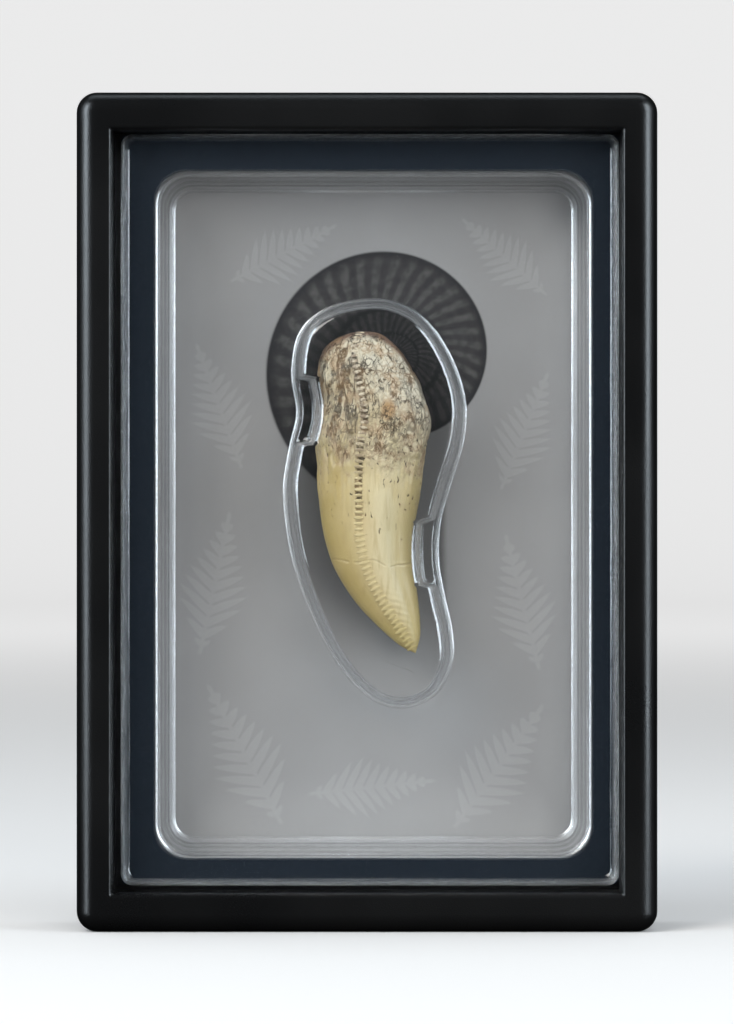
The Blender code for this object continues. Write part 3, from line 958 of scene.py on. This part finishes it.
def crown_colour(tree, place, z, across, skin):
    ramp = put(tree, "ShaderNodeValToRGB", {0: across})
    elements = ramp.color_ramp.elements
    for element, (position, colour) in zip(elements, (CROWN_COLOUR_AND_SHADE_STOPS[0], CROWN_COLOUR_AND_SHADE_STOPS[-1])):
        element.position, element.color = position, (*colour, 1.0)
    for position, colour in CROWN_COLOUR_AND_SHADE_STOPS[1:-1]:
        elements.new(position).color = (*colour, 1.0)
    crown = blend(tree, span(tree, z, 54.0, 43.5, 0.0, 0.6), ramp.outputs[0], (0.52, 0.42, 0.17))
    crown = blend(tree, span(tree, skin["Broad"], 0.4, 0.75, 0.0, 0.35), crown, (0.62, 0.47, 0.24))
    brushed = {"Vector": stretched(tree, place, 0.10), "Scale": 1500.0, "Detail": 3.0}
    brushed = put(tree, "ShaderNodeTexNoise", brushed).outputs[0]
    return blend(tree, span(tree, brushed, 0.45, 0.7, 0.0, 0.4), crown, (0.40, 0.30, 0.13))


def bone_colour(tree, x, z, patches, skin):
    """Off-white bone with pinkish stains, one ochre spot, and a russet line at the very top."""
    uneven = span(tree, skin["Broad"], 0.36, 0.64)
    bone = blend(tree, uneven, (0.48, 0.40, 0.26), (0.64, 0.57, 0.41))
    whiter = span(tree, plus(tree, z, x), 82.0, 92.0, 0.0, 0.55)
    bone = blend(tree, whiter, bone, (0.70, 0.67, 0.56))
    bone = blend(tree, span(tree, patches, 0.50, 0.70, 0.0, 0.55), bone, (0.48, 0.32, 0.20))
    sides = ((x, 3.3, 1.5), (z, 80.8, 2.2))
    spot = [divided(tree, minus(tree, value, middle), size) for value, middle, size in sides]
    spot = plus(tree, *(times(tree, side, side) for side in spot))
    bone = blend(tree, span(tree, spot, 1.0, 0.1, 0.0, 0.75), bone, (0.40, 0.21, 0.07))
    bend = plus(tree, x, 0.7)
    top = plus(tree, z, times(tree, times(tree, bend, bend), 0.09))
    return blend(tree, span(tree, top, 91.9, 93.0, 0.0, 0.88), bone, (0.13, 0.055, 0.035))


def crack_marks(tree, place, left, patches):
    """(line, halo) of the fine cracks: long flakes left of the ridge, small cells right of it."""
    bent = {"Vector": place, "Scale": 700.0, "Detail": 2.0}
    bent = {0: put(tree, "ShaderNodeTexNoise", bent).outputs["Color"], "Scale": 0.0009}
    bent = put(tree, "ShaderNodeVectorMath", bent, operation="SCALE").outputs[0]
    bent = put(tree, "ShaderNodeVectorMath", {0: place, 1: bent}, operation="ADD").outputs[0]
    marks = []
    for along, scale in ((0.36, 900.0), (0.8, 1250.0)):
        cells = {"Vector": stretched(tree, bent, along), "Scale": scale}
        cells = put(tree, "ShaderNodeTexVoronoi", cells, feature="DISTANCE_TO_EDGE")
        cells = cells.outputs["Distance"]
        marks.append((span(tree, cells, 0.10, 0.03), span(tree, cells, 0.32, 0.05)))
    line, halo = (
        plus(tree, times(tree, a, left), times(tree, b, minus(tree, 1.0, left)))
        for a, b in zip(*marks)
    )
    broken = span(tree, blotches(tree, place, 520.0, 4.0), 0.42, 0.58)
    return times(tree, line, broken), times(tree, halo, span(tree, patches, 0.35, 0.6))


def scribbles(tree, place, scale, longer, lean, width):
    """Thin wavy lines, where a noise stretched along a leaning axis passes its middle value."""
    turn = (0.0, math.radians(lean), 0.0)
    given = {"Vector": place, "Rotation": turn, "Scale": (1.0, 1.0, longer)}
    leaning = put(tree, "ShaderNodeMapping", given, vector_type="TEXTURE").outputs[0]
    given = {"Vector": leaning, "Scale": scale, "Detail": 3.0, "Distortion": 0.5}
    level = put(tree, "ShaderNodeTexNoise", given).outputs[0]
    off = unsigned(tree, minus(tree, level, 0.5))
    return span(tree, off, width, width * 0.35)


def stroke_marks(tree, place, left):
    """Dark strokes on the root: upright left of the ridge, and leaning right of it."""
    bark = scribbles(tree, place, 560.0, 3.4, 0.0, 0.062)
    broken = span(tree, blotches(tree, place, 420.0, 4.0), 0.28, 0.44)
    bark = times(tree, times(tree, bark, broken), left)
    one_way = scribbles(tree, place, 760.0, 2.4, 24.0, 0.034)
    bone = larger(tree, one_way, scribbles(tree, place, 700.0, 2.6, -14.0, 0.030))
    bone = times(tree, bone, span(tree, blotches(tree, place, 380.0, 4.0), 0.40, 0.56))
    return larger(tree, bark, bone)


def fleck_marks(tree, place, edge, z):
    """Short dark upright flecks, dense in the root's lower end and few on the crown."""
    flecks = {"Vector": stretched(tree, place, 0.55), "Scale": 1700.0}
    flecks.update({"Detail": 3.0, "Distortion": 0.6})
    flecks = put(tree, "ShaderNodeTexNoise", flecks).outputs[0]
    limit = span(tree, edge, 56.0, 76.0, 0.735, 0.605, smooth=False)
    limit = plus(tree, limit, span(tree, z, 76.0, 88.0, 0.0, 0.08))
    return span(tree, minus(tree, flecks, limit), 0.0, 0.05)


def make_painted_tooth():
    material, tree, shader, place = new_material("painted_tooth")
    wash, column, across = (attribute(tree, name) for name in ("wash", "column", "across"))
    xyz = put(tree, "ShaderNodeSeparateXYZ", {0: place}).outputs
    x, z = times(tree, xyz[0], PER_METRE), times(tree, xyz[2], PER_METRE)
    skin = grain(tree, place, 2600.0, 170.0)
    patches = blotches(tree, place, 330.0)
    left = span(tree, across, 0.41, 0.35)

    edge = plus(tree, z, times(tree, minus(tree, patches, 0.5), 22.0))
    edge = plus(tree, edge, times(tree, x, 0.15))
    cracked = span(tree, edge, 70.0, 80.0)
    crown, bone = crown_colour(tree, place, z, across, skin), bone_colour(tree, x, z, patches, skin)
    colour = blend(tree, span(tree, edge, 68.0, 82.0), crown, bone)

    line, halo = crack_marks(tree, place, left, patches)
    soiled = blotches(tree, place, 210.0, 2.0)
    soiled = plus(tree, soiled, span(tree, minus(tree, z, x), 72.0, 86.0, 0.07, -0.07))
    soiled = span(tree, soiled, 0.40, 0.58, 0.30, 1.0)
    colour = blend(tree, times(tree, times(tree, halo, cracked), 0.4), colour, (0.36, 0.24, 0.12))
    strokes = times(tree, stroke_marks(tree, place, left), 0.92)
    marks = larger(tree, times(tree, line, soiled), strokes)
    marks = larger(tree, times(tree, marks, cracked), times(tree, times(tree, wash, soiled), 0.7))
    ribs = times(tree, column, span(tree, blotches(tree, place, 800.0, 2.0), 0.38, 0.54, 0.2, 0.95))
    dark = larger(tree, larger(tree, marks, fleck_marks(tree, place, edge, z)), ribs)
    # Painted shade: the root darkens along the tooth's two narrow sides, where they turn from the
    # light.
    outline = larger(tree, span(tree, across, 0.07, 0.0), span(tree, across, 0.95, 1.0))
    dark = larger(tree, dark, times(tree, times(tree, outline, cracked), 0.75))
    even = span(tree, skin["Fine"], 0.2, 0.55, 0.6, 1.0)
    dark = calc(tree, "MULTIPLY", dark, even, clamp=True)
    redder = span(tree, patches, 0.42, 0.62)
    brown = blend(tree, redder, (0.034, 0.024, 0.015), (0.120, 0.070, 0.030))
    colour = blend(tree, dark, colour, brown)
    fill(tree, shader.inputs["Base Color"], colour)
    shader.inputs["Specular IOR Level"].default_value = 0.35
    fill(tree, shader.inputs["Roughness"], plus(tree, 0.36, times(tree, cracked, 0.2)))
    grainy = times(tree, skin["Fine"], plus(tree, 0.25, cracked))
    bump(tree, shader, minus(tree, grainy, times(tree, dark, 0.9)), 0.0001, 0.8)
    return material


unmoved_back = make_tooth(make_painted_tooth())

# %% [markdown]
# ## Denticles on the ridge
#
# A meat-eater's tooth has a saw edge: a row of small ribs across a ridge, all of one kind and a
# set distance apart. That is work for Geometry Nodes. A curve runs along the ridge, the tree
# spreads points on it, turns each to the curve, and puts a small rib there. The tree has named
# inputs for the sizes, so a reader can try others.


# %% The ridge as a curve
def ridge_curve():
    """A line of points along the ridge, with the skin's outward direction and the ribs' sizes."""
    shares = np.linspace(0.035, 0.975, 160)
    points, outward, wide, high = [], [], [], []
    for share in shares:
        point, _, _ = skin_point(RIDGE_ANGLE, share)
        side_a, _, _ = skin_point(RIDGE_ANGLE - 0.12, share)
        side_b, _, _ = skin_point(RIDGE_ANGLE + 0.12, share)
        ahead, _, _ = skin_point(RIDGE_ANGLE, min(share + 0.004, 1.0))
        normal = (side_b - side_a).cross(ahead - point).normalized()
        normal = normal if normal.y < 0 else -normal
        worn = 1.0 - smooth_step(point.z, 58.0, 67.0)
        wide.append(1.0 + 0.35 * worn)
        high.append(1.0 - 0.72 * worn)
        point.y += TOOTH_BACK_Y - unmoved_back
        points.append(point * MM)
        outward.append(normal)
    mesh = bpy.data.meshes.new("ridge_line")
    mesh.from_pydata(points, [(i, i + 1) for i in range(len(points) - 1)], [])
    direction = mesh.attributes.new("outward", "FLOAT_VECTOR", "POINT")
    direction.data.foreach_set("vector", [v for normal in outward for v in normal])
    for name, values in (("wide", wide), ("high", high)):
        mesh.attributes.new(name, "FLOAT", "POINT").data.foreach_set("value", values)
    return add_object("ridge_line", mesh)


# %% The denticle tree
def make_denticle_tree(material):
    tree = bpy.data.node_groups.new("denticles", "GeometryNodeTree")
    make = tree.interface.new_socket
    make("Geometry", in_out="INPUT", socket_type="NodeSocketGeometry")
    for name in ("Spacing", "Rib width", "Rib length", "Rib height"):
        make(name, in_out="INPUT", socket_type="NodeSocketFloat")
    make("Seed", in_out="INPUT", socket_type="NodeSocketInt").default_value = 4
    make("Geometry", in_out="OUTPUT", socket_type="NodeSocketGeometry")
    given = put(tree, "NodeGroupInput").outputs

    curve = put(tree, "GeometryNodeMeshToCurve", {0: given["Geometry"]}).outputs[0]
    spread = {"Curve": curve, "Length": given["Spacing"]}
    spread = put(tree, "GeometryNodeResampleCurve", spread, mode="LENGTH").outputs[0]
    tangent = put(tree, "GeometryNodeInputTangent").outputs[0]
    measured = [("tangent", "VECTOR", tangent)]
    for name, kind in (("outward", "FLOAT_VECTOR"), ("wide", "FLOAT"), ("high", "FLOAT")):
        named = put(tree, "GeometryNodeInputNamedAttribute", {"Name": name}, data_type=kind)
        measured.append((name, kind.replace("FLOAT_", ""), named.outputs["Attribute"]))
    kept = put(tree, "GeometryNodeCaptureAttribute", {"Geometry": spread})
    for name, kind, value in measured:
        kept.capture_items.new(kind, name)
        fill(tree, kept.inputs[name], value)
    points = {"Curve": kept.outputs["Geometry"]}
    points = put(tree, "GeometryNodeCurveToPoints", points, mode="EVALUATED").outputs["Points"]
    align = "FunctionNodeAlignRotationToVector"
    along = put(tree, align, {"Vector": kept.outputs["tangent"]}, axis="X").outputs[0]
    facing = {"Rotation": along, "Vector": kept.outputs["outward"]}
    facing = put(tree, align, facing, axis="Z", pivot_axis="X").outputs[0]

    rib = put(tree, "GeometryNodeMeshIcoSphere", {"Radius": 0.5, "Subdivisions": 2}).outputs["Mesh"]
    width = times(tree, given["Rib width"], kept.outputs["wide"])
    # A rib sinks half into the skin, so its whole thickness is twice its height.
    thick = times(tree, times(tree, given["Rib height"], kept.outputs["high"]), 2.0)
    size = {0: given["Rib length"], 1: width, 2: thick}
    size = put(tree, "ShaderNodeCombineXYZ", size).outputs[0]
    vary = put(tree, "FunctionNodeRandomValue", {"Seed": given["Seed"]}, data_type="FLOAT")
    vary.inputs[2].default_value, vary.inputs[3].default_value = 0.82, 1.12
    scaled = {0: size, "Scale": vary.outputs[1]}
    scaled = put(tree, "ShaderNodeVectorMath", scaled, operation="SCALE").outputs[0]
    placed = put(
        tree,
        "GeometryNodeInstanceOnPoints",
        {"Points": points, "Instance": rib, "Rotation": facing, "Scale": scaled},
    ).outputs[0]
    real = put(tree, "GeometryNodeRealizeInstances", {0: placed}).outputs[0]
    smooth = put(tree, "GeometryNodeSetShadeSmooth", {0: real}).outputs[0]
    painted = put(tree, "GeometryNodeSetMaterial", {0: smooth, "Material": material}).outputs[0]
    fill(tree, put(tree, "NodeGroupOutput").inputs[0], painted)
    return tree


# %% Run the tree and keep its result as a plain mesh
DENTICLE_SIZES = {
    "Spacing": 0.88 * MM,
    "Rib width": 1.45 * MM,
    "Rib length": 0.56 * MM,
    "Rib height": 0.11 * MM,
    "Seed": 4,
}


def make_denticles(material):
    line = ridge_curve()
    modifier = line.modifiers.new("denticles", "NODES")
    modifier.node_group = make_denticle_tree(material)
    for item in modifier.node_group.interface.items_tree:
        if item.name in DENTICLE_SIZES:
            modifier[item.identifier] = DENTICLE_SIZES[item.name]
    graph = bpy.context.evaluated_depsgraph_get()
    mesh = bpy.data.meshes.new_from_object(line.evaluated_get(graph))
    mesh.name = "ridge_denticles"
    line.modifiers.remove(modifier)
    bpy.data.objects.remove(line)
    ribs = add_object("ridge_denticles", mesh)
    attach(ribs, "root")
    print(f"denticles: {len(mesh.polygons)} faces")


def make_denticle_paint():
    """Cream ribs, paler and stained on the root, that keep a dark wash low between them."""
    material, tree, shader, place = new_material("denticle_paint")
    z = times(tree, put(tree, "ShaderNodeSeparateXYZ", {0: place}).outputs[2], PER_METRE)
    skin = grain(tree, place, 2600.0, 170.0)
    colour = blend(tree, span(tree, z, 66.0, 82.0), (0.60, 0.49, 0.26), (0.62, 0.54, 0.40))
    colour = blend(tree, span(tree, z, 54.0, 43.5, 0.0, 0.75), colour, (0.55, 0.45, 0.19))
    stained = span(tree, blotches(tree, place, 700.0), 0.44, 0.56)
    stained = times(tree, stained, span(tree, z, 62.0, 78.0, 0.0, 0.7))
    colour = blend(tree, stained, colour, (0.16, 0.10, 0.06))
    fill(tree, shader.inputs["Base Color"], colour)
    shader.inputs["Specular IOR Level"].default_value = 0.35
    fill(tree, shader.inputs["Roughness"], span(tree, skin["Fine"], 0.2, 0.8, 0.34, 0.48))
    bump(tree, shader, skin["Height"], 0.00006, 0.6)
    return material


make_denticles(make_denticle_paint())

# %% [markdown]
# ## The clear blister
#
# The blister is one sheet of clear plastic, 0.4 mm thick, formed by vacuum: a rim, a flange,
# a tray with sloping walls, and a bubble that follows the tooth with two grip dents. Its front
# face is a loft of rings, and Solidify gives it its thickness. Glass needs even shading, so each
# flat stretch begins with a ring that lies fully in it, and the fill touches only flat points.

# %% The bubble's outline
SHEET = 0.4 * MM
FLANGE_Y = MOUNT_FRONT_Y - GAP - SHEET
FLOOR_Y = 5.7 * MM
BUBBLE_TOP_Y = -7.2 * MM
SHELF_Y = -0.4 * MM
DENT_REACH = 1.9 * MM
DENT_FADE = 0.5 * MM
LEFT_DENT = (76.4 * MM, 85.4 * MM)
RIGHT_DENT = (54.2 * MM, 63.2 * MM)
BUBBLE_POINTS = 320

# Points on the foot of the bubble's wall, x and z in millimetres, clockwise from the top.
BUBBLE_OUTLINE = [
    (1.3, 98.4), (6.6, 97.0), (10.5, 93.6), (13.7, 88.0), (15.3, 82.0), (14.9, 76.0),
    (12.8, 69.0), (11.3, 63.4), (11.0, 57.5), (11.9, 52.0), (13.1, 46.5), (13.2, 41.5),
    (10.6, 36.4), (5.7, 34.4), (0.8, 35.8), (-4.0, 40.6), (-8.2, 48.2), (-11.5, 57.6),
    (-12.9, 68.0), (-12.0, 75.0), (-10.8, 80.6), (-11.6, 87.2), (-10.2, 93.6), (-5.6, 97.2),
]


def smooth_curve(marks, steps):
    """A closed Catmull-Rom curve through the marks, as points."""
    count, points = len(marks), []
    for index in range(count):
        a, b, c, d = (marks[(index + step) % count] for step in (-1, 0, 1, 2))
        for step in range(steps):
            t = step / steps
            middle = b * 2 + (c - a) * t
            bend = (a * 2 - b * 5 + c * 4 - d) * t * t + (b * 3 - a - c * 3 + d) * t**3
            points.append((middle + bend) / 2)
    return points


def evenly_spaced(points, count):
    lengths = [0.0]
    for index, point in enumerate(points):
        lengths.append(lengths[-1] + (points[(index + 1) % len(points)] - point).length)
    spaced, piece = [], 0
    for number in range(count):
        target = lengths[-1] * number / count
        while lengths[piece + 1] <= target:
            piece += 1
        share = (target - lengths[piece]) / (lengths[piece + 1] - lengths[piece])
        spaced.append(points[piece].lerp(points[(piece + 1) % len(points)], share))
    return spaced


def dent(point):
    """1 in the two grip dents of the bubble's wall, and 0 elsewhere."""
    low, high = LEFT_DENT if point.x < 0.0 else RIGHT_DENT
    rise = smooth_step(point.y, low - DENT_FADE, low + DENT_FADE)
    return rise * (1.0 - smooth_step(point.y, high - DENT_FADE, high + DENT_FADE))


def inset(points, distances):
    """Moves each point of a closed anticlockwise line inwards by its own distance."""
    moved = []
    for index, point in enumerate(points):
        along = (points[(index + 1) % len(points)] - points[index - 1]).normalized()
        moved.append(point + Vector((-along.y, along.x)) * distances[index])
    return moved


# %% Rings of the tray and the bubble
# Each row is inwards, corner radius and y, in millimetres; y counts from the flange or the floor.
RIM_ROWS = [
    (0.40, 1.5, -2.6), (0.55, 1.5, -1.9), (0.72, 1.5, -1.0), (0.85, 1.5, -0.5), (1.02, 1.6, -0.2),
    (1.3, 1.7, -0.04), (1.7, 1.8, 0.0), (2.0, 1.9, 0.0),
]
LIP_ROWS = [
    (-0.35, 5.2, 0.0), (0.0, 5.0, 0.0), (0.25, 4.95, 0.06), (0.5, 4.9, 0.22), (0.68, 4.8, 0.5),
    (0.8, 4.7, 0.9), (0.92, 4.6, 1.6), (1.04, 4.5, 2.3), (1.16, 4.4, 3.0), (1.30, 4.3, 3.6),
    (1.44, 4.2, 4.2), (1.56, 4.1, 4.9), (1.68, 4.0, 5.6), (1.80, 3.9, 6.2), (1.92, 3.7, 6.7),
]
FLOOR_ROWS = [
    (2.02, 3.6, -2.7), (2.12, 3.5, -1.8), (2.22, 3.4, -1.1), (2.30, 3.3, -0.6), (2.50, 3.1, -0.2),
    (2.85, 2.95, -0.03), (3.2, 2.8, 0.0), (3.6, 2.6, 0.0),
]
# Each row is inwards, share of the grip dents, and y, in millimetres from the floor or the top.
FOOT_ROWS = [
    (-1.0, 0.0, 0.0), (-0.6, 0.0, 0.0), (-0.35, 0.0, -0.04), (-0.14, 0.0, -0.17),
    (-0.02, 0.0, -0.4), (0.04, 0.0, -0.8), (0.22, 0.0, -3.0), (0.40, 0.0, -5.2),
]
SHELF_ROWS = [
    (0.46, 0.04, 0.25), (0.50, 0.15, 0.05), (0.54, 0.5, -0.06), (0.58, 0.85, -0.14),
    (0.62, 0.97, -0.35),
]
TOP_ROWS = [
    (0.80, 1.0, 3.4), (0.98, 1.0, 2.0), (1.08, 1.0, 1.5), (1.22, 1.0, 1.05), (1.45, 1.0, 0.66),
    (1.80, 1.0, 0.34), (2.30, 1.0, 0.13), (2.8, 0.98, 0.03), (3.5, 0.80, 0.0), (4.5, 0.38, 0.0),
    (5.5, 0.0, 0.0),
]


def blister_rings():
    outer = []
    for size, centre, level, rows in (
        (MOUNT_SIZE, MOUNT_CENTRE, FLANGE_Y, RIM_ROWS),
        (WINDOW_SIZE, WINDOW_CENTRE, FLANGE_Y, LIP_ROWS),
        (WINDOW_SIZE, WINDOW_CENTRE, FLOOR_Y, FLOOR_ROWS),
    ):
        for inwards, radius, y in rows:
            narrowed = [side - 2 * inwards * MM for side in size]
            outer.append((rectangle_ring(narrowed, radius * MM, centre, 12), level + y * MM))
    marks = [Vector((x * MM, z * MM)) for x, z in reversed(BUBBLE_OUTLINE)]
    foot = evenly_spaced(smooth_curve(marks, 24), BUBBLE_POINTS)
    dents = [dent(point) for point in foot]
    bubble = []
    for level, rows in ((FLOOR_Y, FOOT_ROWS), (SHELF_Y, SHELF_ROWS), (BUBBLE_TOP_Y, TOP_ROWS)):
        for inwards, share, y in rows:
            distances = [inwards * MM + share * DENT_REACH * amount for amount in dents]
            bubble.append((inset(foot, distances), level + y * MM))
    return outer, bubble


# %% [markdown]
# ### A material for clear plastic
#
# A Principled BSDF with full transmission bends and reflects light as the sheet does. Light from
# the lamps would then reach the card only as rare, noisy caustics, so rays that look for
# a lamp pass through a Transparent BSDF instead, chosen by the Light Path node. A faint, broad
# bump stands for the ripple of a formed sheet. Where the sheet was drawn down into a wall it is
# a little cloudy, so the mesh says how steep it is, and steep skin gets a rougher surface. In a
# sharp bend light is caught many times over, which draws the white outlines in the photograph,
# so a coat that reflects more strongly lies on the bends alone.


# %% Clear plastic
def make_clear_plastic():
    material, tree, shader, place = new_material("clear_plastic")
    shader.inputs["Base Color"].default_value = (0.985, 0.99, 0.995, 1.0)
    cloudy = span(tree, attribute(tree, "steep"), 0.0, 1.0, 0.03, 0.27, smooth=False)
    fill(tree, shader.inputs["Roughness"], cloudy)
    fill(tree, shader.inputs["Coat Weight"], span(tree, attribute(tree, "bend"), 0.2, 0.9))
    shader.inputs["Coat Roughness"].default_value = 0.3
    shader.inputs["Coat IOR"].default_value = 2.2
    shader.inputs["IOR"].default_value = 1.5
    shader.inputs["Specular IOR Level"].default_value = 0.25
    shader.inputs["Transmission Weight"].default_value = 1.0
    ripple = {"Vector": place, "Scale": 95.0, "Detail": 1.0}
    ripple = put(tree, "ShaderNodeTexNoise", ripple).outputs[0]
    bump(tree, shader, ripple, 0.0003, 0.12)
    open_way = put(tree, "ShaderNodeBsdfTransparent", {"Color": (0.93, 0.94, 0.95)})
    path = put(tree, "ShaderNodeLightPath")
    chosen = larger(tree, path.outputs["Is Shadow Ray"], path.outputs["Is Diffuse Ray"])
    mix = {0: chosen, 1: shader.outputs[0], 2: open_way.outputs[0]}
    mix = put(tree, "ShaderNodeMixShader", mix)
    fill(tree, tree.nodes["Material Output"].inputs["Surface"], mix.outputs[0])
    return material


# %% Build the blister
def ladder(bm, ring):
    """Fills a flat ring with rungs between its two sides, from its highest point down."""
    top = max(range(len(ring)), key=lambda index: ring[index].co.z)
    half = len(ring) // 2
    left = [ring[(top + step) % len(ring)] for step in range(half + 1)]
    right = [ring[top - step] for step in range(half + 1)]
    for step in range(half):
        corners = (left[step], left[step + 1], right[step + 1], right[step])
        bm.faces.new(list(dict.fromkeys(corners)))


def ring_edges(bm, ring):
    """The edges that join each point of a ring to the next."""
    found = []
    for index, vert in enumerate(ring):
        after = ring[(index + 1) % len(ring)]
        edge = bm.edges.get((vert, after)) or bm.edges.new((vert, after))
        found.append(edge)
    return found


def make_blister(material):
    bm = bmesh.new()
    steep, bend = [bm.verts.layers.float.new(name) for name in ("steep", "bend")]
    outer, bubble = blister_rings()
    groups = [[add_ring(bm, *ring) for ring in group] for group in (outer, bubble)]
    for group in groups:
        for first, second in zip(group, group[1:]):
            bridge(bm, first, second)
    floor_edges = ring_edges(bm, groups[0][-1]) + ring_edges(bm, groups[1][0])
    bmesh.ops.triangle_fill(bm, use_beauty=True, edges=floor_edges)
    ladder(bm, groups[1][-1])
    bmesh.ops.recalc_face_normals(bm, faces=bm.faces)
    bm.normal_update()
    if sum(face.normal.y * face.calc_area() for face in bm.faces) > 0:
        bmesh.ops.reverse_faces(bm, faces=bm.faces)
    for vert in bm.verts:
        vert[steep] = smooth_step(1.0 - abs(vert.normal.y), 0.10, 0.7)
    # The sharp bends: the tray's lip, its floor's border, and the foot of the bubble.
    for ring in groups[0][9:14] + groups[0][23:28] + groups[1][2:6]:
        for vert in ring:
            vert[bend] = 1.0
    mesh = bpy.data.meshes.new("clear_blister")
    bm.to_mesh(mesh)
    bm.free()
    mesh.shade_smooth()
    mesh.materials.append(material)
    blister = add_object("clear_blister", mesh)
    shell = blister.modifiers.new("sheet", "SOLIDIFY")
    shell.thickness = SHEET
    shell.offset = -1.0
    shell.use_quality_normals = True
    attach(blister, "root")
    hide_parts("blister")
    print(f"blister: {len(mesh.polygons)} faces before its thickness")


make_blister(make_clear_plastic())
